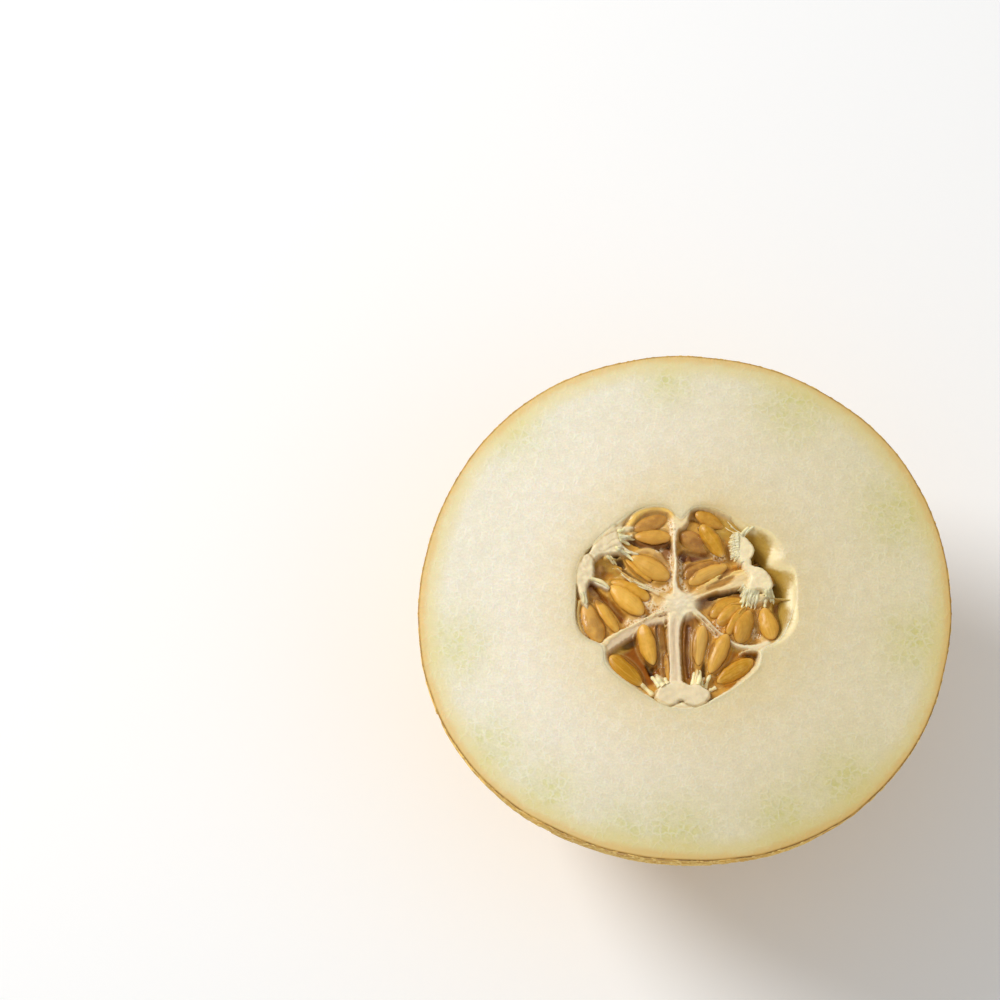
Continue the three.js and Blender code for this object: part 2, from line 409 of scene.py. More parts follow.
def seamShade(angle, beyond):
    # how strong the painted shade on the flesh is where the core meets it, from 0 to 1
    strength = np.max([most * bump(angle, middle, spread) for middle, spread, most in body["seamShades"]], axis=0)
    return strength * np.exp(-np.clip(np.abs(beyond), 0, 8) / body["seamShadeReach"])


def facePoints(angle, share):
    # from the rind (share 0) to the hollow's lip (share 1) on the cut face
    outer = rays(angle) * faceOutline(angle)[:, None]
    inner = hollowPoints(angle, hollowOutline(angle) + lipShape(angle)[0])
    return outer + (inner - outer) * share


def lipWetnessAndShade(angle, reach, drop):
    # reach is the distance outside the hollow's outline, drop the depth under the face
    line = swollen(body["oliveStart"], body["oliveLine"], angle)
    lipOut = lipShape(angle)[0]
    pale = wetnessAndShade["pale"] * np.clip((lipOut - reach) / np.maximum(lipOut - line, 0.3), 0, 1)
    olive = wetnessAndShade["olive"] * smoothStep(0, body["oliveBlend"], line - reach)
    # deeper down the wall the share grows with depth: painted shade
    deep = wetnessAndShade["perMillimetre"] * np.maximum(0, drop - wetnessAndShade["deepShadeStart"]) * (reach < line)
    return np.minimum(wetnessAndShade["most"], pale + olive + deep)


def skinRing(angle, width, height):
    # one level ring of the skin, a little lumpy; the lumps fade out at the blossom end
    ray = rays(angle)
    ring = lifted(ray * (faceOutline(angle) * width)[:, None], height)
    size, reach = body["lumps"]
    lump = noiseAt(ring, size, 3.0) * reach * smoothStep(restShare, 0.6, width)
    ring[:, :2] += ray * lump[:, None]
    return ring


def skinHeight(turn):
    return faceLevel + fruit["cutPast"] - fullDepth * math.sin(turn) ** (2 / curve)


def skinWidth(turn):
    return (math.cos(turn) / math.cos(faceTurn)) ** (2 / curve)


def makeMelonBody():
    angle = evenAngles(body["turnSteps"])
    rings, rimDepth, wetAndShade = [], [], []

    def addRing(ring, depth=-1.0, wetAndShadeShare=0.0):
        rings.append(ring)
        rimDepth.append(np.broadcast_to(depth, angle.shape))
        wetAndShade.append(np.broadcast_to(wetAndShadeShare, angle.shape))

    for share, height in body["scar"]:
        addRing(skinRing(angle, restShare * share, height))
    for step in range(body["domeSteps"] + 1):
        turn = faceTurn + (restTurn - faceTurn) * (1 - step / body["domeSteps"]) ** body["domeEase"]
        height = 0.0 if step == 0 else min(skinHeight(turn), faceLevel - body["rimRound"])
        addRing(skinRing(angle, skinWidth(turn), height))
    # the cut face, from the rind's edge inwards
    edge = rings[-1][:, :2]
    size, reach = body["ripples"]
    for share in np.linspace(0, 1, body["faceSteps"] + 1) ** body["faceEase"]:
        flat = facePoints(angle, share)
        flat = flat + (edge - facePoints(angle, 0.0)) * (1 - share)
        depth = np.linalg.norm(flat - edge, axis=1)
        if share == 0.0:
            flat = flat * (1 - body["rimRound"] * 0.5 / faceOutline(angle))[:, None]
        ring = lifted(flat, faceLevel)
        ring[:, 2] += noiseAt(ring, size, 9.0) * reach * smoothStep(0, 4, depth)
        addRing(ring, depth)
    # the lip, first out to the hollow's outline and then on below it
    lipOut, lipIn, lipSill, lipDeep = lipShape(angle)
    hollow = hollowOutline(angle)
    faceDepth = rimDepth[-1]
    for step in range(1, 2 * body["lipSteps"] + 1):
        out = min(1.0, step / body["lipSteps"])
        below = max(0.0, step / body["lipSteps"] - 1)
        reach = lipOut * (1 - out) - lipIn * below
        drop = lipSill * out ** 2 + (lipDeep - lipSill) * (0.5 * below + 0.5 * below ** 2)
        ring = lifted(hollowPoints(angle, hollow + reach), faceLevel - drop)
        addRing(ring, faceDepth + lipOut * out, lipWetnessAndShade(angle, reach, drop))
    for step in range(1, body["wallSteps"]):
        width, sink = hollowWall(math.pi / 2 * (step / body["wallSteps"]) ** body["wallEase"])
        drop = lipDeep + (fruit["hollowDepth"] - lipDeep) * sink
        ring = lifted(hollowPoints(angle, (hollow - lipIn) * width), faceLevel - drop)
        addRing(ring, faceDepth + lipOut, lipWetnessAndShade(angle, -lipIn, drop))
    floorPoint = (*hollowMiddle, faceLevel - fruit["hollowDepth"])
    melon, points = makeClosed("melon_body", [(body["foot"], np.array(rings), floorPoint)])
    onFace = points[:, 2] > faceLevel - 1.0
    x, y = (points[:, :2] - hollowMiddle).T
    turns = np.degrees(np.arctan2(y, x))
    green = np.max([np.exp(-((points[:, 0] - px) ** 2 + (points[:, 1] - py) ** 2) / size ** 2)
                    for px, py, size in body["greens"]], axis=0)
    setValues(melon, "rimDepth", np.concatenate([[-1.0], *rimDepth, [body["floorDepth"]]]))
    setValues(melon, "wetAndShade", np.concatenate([[0.0], *wetAndShade, [wetnessAndShade["most"]]]))
    setValues(melon, "seam", seamShade(turns, np.hypot(x, y) - hollowOutline(turns)) * onFace)
    setValues(melon, "green", green * onFace)
    setValues(melon, "coreAway", np.hypot(x, y))
    melon.data.materials.append(fleshMaterial())
    melon.data.materials.append(rindMaterial())
    skinFaces = (len(body["scar"]) + body["domeSteps"]) * body["turnSteps"]
    for face in melon.data.polygons:
        onSkin = face.index < skinFaces or min(face.vertices) == 0
        face.material_index = int(onSkin)
    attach(melon, "root")
    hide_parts("flesh_and_rind")
    print("melon body", len(melon.data.polygons), "faces")
    return melon


# Looks are colours and how they are laid over each other: a tint, the values of its mask where it
# starts and where it is full, and its least and most share.
fleshLook = {
    "inner": linear(243, 233, 210),
    "outer": (linear(240, 233, 210), 34.0, 8.0),
    "warm": (linear(236, 214, 158), 46.0, 25.0, 0.0, 0.55),
    "green": linear(222, 217, 146),
    "greenMost": 0.85,
    "fibre": linear(246, 240, 222),
    "fibreCells": 2.1,
    "fibreSway": 1.6,
    # grains: size, detail, how dark and how light
    "grains": ((0.55, 2.0, 0.965, 1.03), (2.2, 3.0, 0.97, 1.03)),
    "yellow": (linear(236, 220, 157), 9.5, 4.4, 0.0, 0.7),
    "rindInner": (linear(234, 199, 131), 5.0, 3.0, 0.0, 0.8),
    "rindEdge": (linear(206, 162, 84), 0.7, 0.15),
    "skinLine": linear(142, 104, 50),
    # direction, where the shade starts and is full on that side, shade
    "farSides": (((1.0, -0.12, 0.0), -50, 52, (0.82, 0.785, 0.645, 1.0)),
                 ((0.0, -1.0, 0.0), 20, 66, (0.94, 0.935, 0.9, 1.0))),
    # painted shade round the core's edge
    "seamShadeTint": linear(206, 170, 96),
    "lip": (linear(238, 220, 168), 0.05, 0.35),
    "wall": (linear(184, 148, 62), 0.36, 0.8),
    # painted shade, darker deeper down the hollow's wall
    "wallDeepShade": (linear(140, 98, 26), 0.85, 1.7),
    "roughness": (0.1, 0.4, 0.42, 0.36),
    "shader": {"Subsurface Weight": 0.35, "Subsurface Radius": (1.0, 0.7, 0.4), "Subsurface Scale": 3.0 * mm,
               "Specular IOR Level": 0.35},
}


def fleshMaterial():
    material, tree, shader = newMaterial("moistFlesh", fleshLook["shader"])
    place = addPlace(tree)
    rim, wetAndShade = addValue(tree, "rimDepth"), addValue(tree, "wetAndShade")
    broad = addNoise(tree, place, 22.0, 3.0)
    mottle = addNoise(tree, place, 3.0, 4.0)
    # cream inside, yellower towards the rind, with a warm glow round the core
    outward = addMath(tree, "ADD", rim, addMath(tree, "MULTIPLY", broad, 16.0))
    colour = layTint(tree, fleshLook["inner"], outward, *fleshLook["outer"])
    colour = layTint(tree, colour, addValue(tree, "coreAway"), *fleshLook["warm"])
    # greenish patches where the strands of the flesh run to the rind
    patchy = addRange(tree, mottle, 0.3, 0.65, 0.35, 1.0)
    patchy = addMath(tree, "MULTIPLY", addValue(tree, "green"), patchy, fleshLook["greenMost"])
    colour = addMix(tree, patchy, colour, fleshLook["green"])
    # fine pale dots and short winding fibres, clearest towards the rind
    sway = {0: addNoise(tree, place, 1.5, 1.0, "Color"), 1: (fleshLook["fibreSway"] * mm,) * 3, 2: place}
    sway = addNode(tree, "ShaderNodeVectorMath", sway, operation="MULTIPLY_ADD")
    cells = {"Vector": sway, "Scale": 1 / (fleshLook["fibreCells"] * mm)}
    cells = addNode(tree, "ShaderNodeTexVoronoi", cells, "Distance", feature="DISTANCE_TO_EDGE")
    wander = addMath(tree, "MULTIPLY", addRange(tree, cells, 0.2, 0.0), addRange(tree, mottle, 0.4, 0.55))
    fibre = addMath(tree, "MULTIPLY", wander, addRange(tree, rim, 46.0, 20.0, 0.2, 0.52))
    colour = addMix(tree, fibre, colour, fleshLook["fibre"])
    heights = []
    for grain in fleshLook["grains"]:
        colour, height = addGrain(tree, place, colour, *grain)
        heights.append(height)
    # under the skin the flesh turns yellow and then golden, with a wandering inner edge
    winding = [addMath(tree, "MULTIPLY", cloud, reach) for cloud, reach in ((mottle, 1.6), (broad, 3.0))]
    band = addMath(tree, "ADD", rim, *winding)
    for name, mask in (("yellow", band), ("rindInner", band), ("rindEdge", rim)):
        colour = layTint(tree, colour, mask, *fleshLook[name])
    line = addRange(tree, mottle, 0.38, 0.56, 0.1, 0.8)
    line = addMath(tree, "MULTIPLY", addRange(tree, rim, 0.42, 0.1), line)
    colour = addMix(tree, line, colour, fleshLook["skinLine"])
    # the sides away from the light are duller and yellower
    for direction, start, end, shade in fleshLook["farSides"]:
        side = addVector(tree, "DOT_PRODUCT", place, direction, "Value")
        dull = layTint(tree, (1.0, 1.0, 1.0, 1.0), side, shade, start * mm, end * mm)
        colour = addMix(tree, 1.0, colour, dull, "MULTIPLY")
    # painted shade where the flesh meets the core; the hollow's wall is wet and olive, with painted shade
    # deepening downwards
    colour = addMix(tree, addValue(tree, "seam"), colour, fleshLook["seamShadeTint"])
    streaks = addMath(tree, "ADD", wetAndShade, addRange(tree, mottle, 0.3, 0.7, -0.1, 0.1))
    for name, mask in (("lip", wetAndShade), ("wall", streaks), ("wallDeepShade", streaks)):
        colour = layTint(tree, colour, mask, *fleshLook[name])
    tree.links.new(colour, shader.inputs["Base Color"])
    tree.links.new(addRange(tree, wetAndShade, *fleshLook["roughness"]), shader.inputs["Roughness"])
    addBump(tree, shader, addMath(tree, "ADD", wander, heights[0]), 0.12, 0.35)
    return material


rindLook = {
    # size and detail of the broad, the middling and the fine noise
    "noises": ((30.0, 3.0), (5.0, 4.0), (0.9, 3.0)),
    "gold": (linear(238, 184, 14), 0.35, 0.65),
    "deep": linear(206, 150, 10),
    "amber": (linear(226, 156, 18), 0.5, 0.75, 0.0, 0.55),
    "pale": (linear(240, 200, 70), 0.52, 0.8, 0.0, 0.35),
    "shader": {"Roughness": 0.45, "Specular IOR Level": 0.3},
}


def rindMaterial():
    material, tree, shader = newMaterial("goldenRind", rindLook["shader"])
    place = addPlace(tree)
    broad, mottle, fine = (addNoise(tree, place, *noises) for noises in rindLook["noises"])
    colour = rindLook["deep"]
    for name, mask in (("gold", broad), ("amber", mottle), ("pale", fine)):
        colour = layTint(tree, colour, mask, *rindLook[name])
    tree.links.new(colour, shader.inputs["Base Color"])
    addBump(tree, shader, fine, 0.15, 0.5)
    return material


# The corky net over the skin. Two Geometry Nodes trees grow it: a mesh of broken cells, and
# short strokes inside them. The skin they grow on runs on above the cut, where the net is sawn off.
net = {
    "spacing": 1.9,
    "density": 95000.0,
    "broken": 0.16,
    "lineRadius": 0.48,
    "height": 0.7,
    "step": 1.0,
    "wander": 1.7,
    "flatCells": 1.7,
    "tallCells": 0.3,
    "aboveCut": 10.0,
    "strokeDensity": 62000.0,
    "strokeLength": 3.4,
    "strokeRadius": 0.36,
    "split": 38.0,
    "seed": 11,
    # how many steps the skin has around, up to the cut and above it, and its lowest place
    "groundSteps": (150, 60, 4),
    "groundFoot": (0, 0, 0.6),
    "lowest": 0.02,
}


def makeTree(name, inputs):
    # a Geometry Nodes tree with a geometry in and out and one named input for each value
    tree = bpy.data.node_groups.new(name, "GeometryNodeTree")
    for way in ("INPUT", "OUTPUT"):
        tree.interface.new_socket("Geometry", in_out=way, socket_type="NodeSocketGeometry")
    kinds = {bpy.types.Material: "Material", int: "Int", float: "Float"}
    for label, value in inputs.items():
        kind = next(kind for sort, kind in kinds.items() if isinstance(value, sort))
        tree.interface.new_socket(label, in_out="INPUT", socket_type="NodeSocket" + kind)
    return tree, tree.nodes.new("NodeGroupInput").outputs


def endTree(tree, shape, material):
    # every tree ends smooth, as one mesh and with its material
    smooth = addNode(tree, "GeometryNodeSetShadeSmooth", {"Geometry": shape, "Shade Smooth": True})
    whole = addNode(tree, "GeometryNodeRealizeInstances", {"Geometry": smooth})
    whole = addNode(tree, "GeometryNodeSetMaterial", {"Geometry": whole, "Material": material})
    tree.links.new(whole, tree.nodes.new("NodeGroupOutput").inputs[0])
    return tree


def treePlace(tree):
    return addNode(tree, "GeometryNodeInputPosition", {})


def movePoints(tree, shape, **where):
    # moves points by an Offset or to a Position
    return addNode(tree, "GeometryNodeSetPosition", {"Geometry": shape, **where})


def dropParts(tree, shape, chosen, **settings):
    inputs = {"Geometry": shape, "Selection": chosen}
    return addNode(tree, "GeometryNodeDeleteGeometry", inputs, **settings)


def evenSteps(tree, lines, step):
    return addNode(tree, "GeometryNodeResampleCurve", {"Curve": lines, "Length": step}, mode="LENGTH")


def upBy(tree, height):
    return addNode(tree, "ShaderNodeCombineXYZ", {"Z": height})


def windAbout(tree, lines, size, reach):
    # winds the points about by smooth noise, the same for all lines that meet at a place
    cloud = addNoise(tree, treePlace(tree), size, 1.5, "Color", 0.5)
    shift = addScaled(tree, addVector(tree, "SUBTRACT", cloud, (0.5, 0.5, 0.5)), reach)
    return movePoints(tree, lines, Offset=shift)


def layOnSkin(tree, lines, skin, share):
    # moves points towards the nearest place of the skin: share 0 puts them on it
    place = treePlace(tree)
    near = addNode(tree, "GeometryNodeProximity", {"Geometry": skin, "Sample Position": place}, "Position")
    kept = addScaled(tree, addVector(tree, "SUBTRACT", place, near), share)
    return movePoints(tree, lines, Position=addVector(tree, "ADD", near, kept))


def sweepCords(tree, lines, width, sides):
    ring = addNode(tree, "GeometryNodeCurvePrimitiveCircle", {"Resolution": sides, "Radius": 1.0})
    inputs = {"Curve": lines, "Profile Curve": ring, "Fill Caps": True, "Scale": width}
    return addNode(tree, "GeometryNodeCurveToMesh", inputs)


def netCords(tree, lines, skin, values):
    # flattened cords of uneven width that lie on the skin and are worn down towards the cut
    place = treePlace(tree)
    uneven = addNoise(tree, place, 2.5, 1.0, roughness=0.5)
    width = addMath(tree, "ADD", addMath(tree, "MULTIPLY", uneven, 1.3), 0.35)
    cords = sweepCords(tree, lines, addMath(tree, "MULTIPLY", width, values["Line Radius"]), 6)
    level = addNode(tree, "ShaderNodeSeparateXYZ", {"Vector": place}, "Z")
    worn = addRange(tree, level, (faceLevel - 4.0) * mm, (faceLevel - 0.5) * mm, 1.0, 0.35, "LINEAR")
    cords = layOnSkin(tree, cords, skin, addMath(tree, "MULTIPLY", values["Height"], worn))
    return endTree(tree, cords, values["Material"])


def cellTree(inputs):
    tree, values = makeTree("cellNet", inputs)
    skin = values["Geometry"]
    place = treePlace(tree)
    around = addVector(tree, "LENGTH", addVector(tree, "MULTIPLY", place, (1, 1, 0)), (0, 0, 0), "Value")
    inward = addMath(tree, "SUBTRACT", fruit["faceRadius"] * mm, around)
    level = addNode(tree, "ShaderNodeSeparateXYZ", {"Vector": place}, "Z")
    lower = upBy(tree, addMath(tree, "MULTIPLY", inward, values["Flat Cells"]))
    # the skin is drawn out to a point below, so that cells grown on it end up flat there
    drawn = movePoints(tree, skin, Offset=addScaled(tree, lower, -1.0))
    spread = {"Mesh": drawn, "Density": values["Density"], "Seed": values["Seed"]}
    dots = addNode(tree, "GeometryNodeDistributePointsOnFaces", spread)
    squat = addMath(tree, "MULTIPLY", addMath(tree, "SUBTRACT", faceLevel * mm, level), values["Tall Cells"])
    dots = movePoints(tree, dots, Offset=upBy(tree, squat))
    dots = addNode(tree, "GeometryNodeMergeByDistance", {"Geometry": dots, "Distance": values["Spacing"]})
    hull = addNode(tree, "GeometryNodeConvexHull", {"Geometry": dots})
    cells = addNode(tree, "GeometryNodeDualMesh", {"Mesh": hull})
    rise = addMath(tree, "DIVIDE", addMath(tree, "SUBTRACT", level, faceLevel * mm),
                   addMath(tree, "SUBTRACT", 1.0, values["Tall Cells"]))
    rise = addMath(tree, "SUBTRACT", addMath(tree, "ADD", rise, faceLevel * mm), level)
    cells = movePoints(tree, movePoints(tree, cells, Offset=upBy(tree, rise)), Offset=lower)
    lid = addMath(tree, "GREATER_THAN", level, (faceLevel + 0.6 * net["aboveCut"]) * mm)
    cells = dropParts(tree, cells, lid)
    chance = {"Probability": values["Broken"], "Seed": values["Seed"]}
    chance = addNode(tree, "FunctionNodeRandomValue", chance, 3, data_type="BOOLEAN")
    cells = dropParts(tree, cells, chance, domain="EDGE")
    lines = evenSteps(tree, addNode(tree, "GeometryNodeMeshToCurve", {"Mesh": cells}), values["Step"])
    lines = windAbout(tree, lines, 5.0, values["Wander"])
    lines = windAbout(tree, lines, 1.6, addMath(tree, "MULTIPLY", values["Wander"], 0.35))
    return netCords(tree, layOnSkin(tree, lines, skin, 0.0), skin, values)


def strokeTree(inputs):
    tree, values = makeTree("shortStrokes", inputs)
    skin, seed = values["Geometry"], values["Seed"]
    spread = {"Mesh": skin, "Density": values["Density"], "Seed": seed}
    points = addNode(tree, "GeometryNodeDistributePointsOnFaces", spread, "Points")
    spin = addNode(tree, "FunctionNodeRandomValue", {2: -3.14, 3: 3.14, "Seed": seed}, 1)
    spin = addNode(tree, "FunctionNodeAxisAngleToRotation", {"Axis": (0, 0, 1), "Angle": spin})
    turn = {"Rotation": points.node.outputs["Rotation"], "Rotate By": spin}
    turn = addNode(tree, "FunctionNodeRotateRotation", turn, rotation_space="LOCAL")
    size = {2: 0.25, 3: 1.0, "Seed": addMath(tree, "ADD", seed, 3.0)}
    size = addNode(tree, "FunctionNodeRandomValue", size, 1)
    ends = {}
    for end, share in (("Start", -0.5), ("End", 0.5)):
        half = addMath(tree, "MULTIPLY", values["Length"], share)
        ends[end] = addNode(tree, "ShaderNodeCombineXYZ", {"X": half})
    line = addNode(tree, "GeometryNodeCurvePrimitiveLine", ends)
    lines = {"Points": points, "Instance": line, "Rotation": turn, "Scale": size}
    lines = addNode(tree, "GeometryNodeInstanceOnPoints", lines)
    lines = addNode(tree, "GeometryNodeRealizeInstances", {"Geometry": lines})
    lines = evenSteps(tree, lines, values["Step"])
    lines = windAbout(tree, lines, 1.8, addMath(tree, "MULTIPLY", values["Wander"], 1.5))
    return netCords(tree, layOnSkin(tree, lines, skin, 0.0), skin, values)


def growPiece(name, ground, tree, values):
    # runs the tree on the ground mesh and keeps the result as a plain mesh of its own
    modifier = ground.modifiers.new(name, "NODES")
    modifier.node_group = tree
    for item in tree.interface.items_tree:
        if item.in_out == "INPUT" and item.name in values:
            modifier[item.identifier] = values[item.name]
    ground.update_tag()
    graph = bpy.context.evaluated_depsgraph_get()
    mesh = bpy.data.meshes.new_from_object(ground.evaluated_get(graph))
    ground.modifiers.remove(modifier)
    return linkPiece(name, mesh)


def linkPiece(name, mesh):
    mesh.name = name
    piece = bpy.data.objects.new(name, mesh)
    bpy.context.scene.collection.objects.link(piece)
    return piece


def cutLevel(piece, level, keepBelow=True):
    # cuts closed pieces off at a level and closes them with flat ends
    shape = bmesh.new()
    shape.from_mesh(piece.data)
    cut = bmesh.ops.bisect_plane(shape, geom=shape.verts[:] + shape.edges[:] + shape.faces[:], dist=1e-7,
                                 plane_co=(0, 0, level * mm), plane_no=(0, 0, 1),
                                 clear_outer=keepBelow, clear_inner=not keepBelow)
    edges = [e for e in cut["geom_cut"] if isinstance(e, bmesh.types.BMEdge)]
    ends = bmesh.ops.edgeloop_fill(shape, edges=edges)["faces"]
    # each end a little further in than the cut, so that no two of them lie in one plane
    for number, face in enumerate(ends):
        for vertex in face.verts:
            vertex.co.z -= (0.06 + 0.2 * (number * 0.618 % 1)) * mm * (level == faceLevel)
    bmesh.ops.recalc_face_normals(shape, faces=shape.faces)
    for face in shape.faces:
        face.smooth = len(face.verts) < 5
    shape.to_mesh(piece.data)
    shape.free()


def makeSkinGround():
    around, up, above = net["groundSteps"]
    angle = evenAngles(around)
    rings = []
    for step in range(up + 1):
        turn = faceTurn + (restTurn - faceTurn) * (1 - step / up)
        rings.append(skinRing(angle, skinWidth(turn), skinHeight(turn)))
    for step in range(1, above + 1):
        rise = net["aboveCut"] * step / above
        turn = math.asin((abs(fruit["cutPast"] - rise) / fullDepth) ** (curve / 2))
        rings.append(skinRing(angle, skinWidth(turn), faceLevel + rise))
    points = np.concatenate([[net["groundFoot"]], *rings])
    faces = list(ringFaces(len(rings), around, 1))
    faces += [(0, 1 + (step + 1) % around, 1 + step) for step in range(around)]
    return makeObject("skinGround", points, faces)


def makeNetting():
    skin = makeSkinGround()
    shared = {"Seed": net["seed"], "Step": net["step"] * mm, "Height": net["height"],
              "Material": netMaterial()}
    cells = {**shared, "Spacing": net["spacing"] * mm, "Density": net["density"], "Broken": net["broken"],
             "Wander": net["wander"] * mm * 2, "Flat Cells": net["flatCells"], "Tall Cells": net["tallCells"],
             "Line Radius": net["lineRadius"] * mm}
    strokes = {**shared, "Density": net["strokeDensity"], "Length": net["strokeLength"] * mm,
               "Wander": net["wander"] * mm, "Line Radius": net["strokeRadius"] * mm}
    upper = growPiece("rind_net_upper", skin, cellTree(cells), cells)
    strokes = growPiece("rind_strokes", skin, strokeTree(strokes), strokes)
    bpy.data.objects.remove(skin)
    lower = linkPiece("rind_net_lower", upper.data.copy())
    cutLevel(upper, faceLevel)
    cutLevel(upper, net["split"], keepBelow=False)
    cutLevel(lower, net["split"])
    cutLevel(strokes, faceLevel)
    for piece in (upper, lower, strokes):
        for vertex in piece.data.vertices:
            vertex.co.z = max(vertex.co.z, net["lowest"] * mm)
        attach(piece, "root")
        triangles = sum(len(face.vertices) - 2 for face in piece.data.polygons)
        print(piece.name, triangles, "triangles")


netLook = {
    "cork": linear(240, 198, 106),
    "pale": (linear(250, 218, 132), 0.35, 0.65),
    "brown": (linear(206, 154, 74), 0.45, 0.7, 0.0, 0.5),
    "speck": (linear(156, 112, 50), 0.4, 0.28, 0.0, 0.6),
    "shader": {"Roughness": 0.75},
}


def netMaterial():
    material, tree, shader = newMaterial("dryCork", netLook["shader"])
    place = addPlace(tree)
    fine, broad = addNoise(tree, place, 0.8, 3.0), addNoise(tree, place, 9.0, 2.0)
    colour = netLook["cork"]
    for name, mask in (("pale", fine), ("brown", broad), ("speck", fine)):
        colour = layTint(tree, colour, mask, *netLook[name])
    tree.links.new(colour, shader.inputs["Base Color"])
    addBump(tree, shader, fine, 0.12, 0.6)
    return material


# The seed core: jelly, septa and placentas in one closed body. Its top is laid down tissue by
# tissue, in order, each with a level over the cut face, a colour and a soft edge.
# Places are millimetres on the cut face.
core = {
    "turnSteps": 700,
    "topSteps": 108,
    "sideSteps": 26,
    "sideEase": 1.7,
    "sideGap": 0.2,
    "sideStep": 0.15,
    "footGap": 0.5,
    "tuck": 0.3,
    "groundLevel": -2.3,
    "lumps": 0.3,
    "ragged": 0.16,
    "roughness": 0.03,
    # how fine the grain of bands and patches is across and along
    "bandGrain": (1.9, 0.16),
    "patchGrain": (1.1, 0.45),
    "grainHeight": 0.12,
    "grainShade": 0.3,
    # the gap beside the two free lobes: how deep, the pulp's reach behind it on either side, the
    # angles between which it opens and closes, and the lobes' middles and radii
    "gapDepth": 8.0,
    "gapBacks": (21.2, 23.2),
    "gapOpens": (2, 6),
    "gapCloses": (46, 51),
    "lobes": (((14.1, 15.1), 3.8), ((18.7, 6.3), 3.9)),
    "lobeRound": 0.6,
    # the flesh's rim in the core's edge: width, and angle, spread and what is added there
    "rim": 0.7,
    "wideRims": ((222, 14, 0.9), (240, 12, 0.6), (316, 14, 0.9), (188, 14, -0.2), (160, 14, -0.5),
                 (108, 14, -0.2), (68, 14, 0.6)),
    "rimLevel": 0.12,
    "whiteTints": ("white", "cream", "bright", "leaf"),
    "side": (176, 134, 50),
}
# how each tissue looks, as screen colours; dark and shade are painted shade in deep crevices and hollows
tissueTints = {
    "tan": (206, 154, 66), "mauve": (126, 74, 46), "greyMauve": (160, 112, 66), "olive": (190, 150, 62),
    "amber": (200, 130, 18), "rust": (150, 84, 6), "dark": (74, 36, 8), "cream": (238, 216, 166),
    "white": (240, 224, 190), "bright": (243, 226, 184), "leaf": (236, 219, 180), "sand": (222, 182, 112),
    "gel": (176, 124, 52), "smoke": (144, 106, 74), "straw": (234, 202, 128), "flesh": (239, 223, 182),
    # the creases' tint is painted shade
    "brown": (150, 98, 38), "creaseShade": (172, 138, 74), "honey": (246, 200, 106), "pith": (228, 205, 168),
    "shade": (158, 116, 40),
}
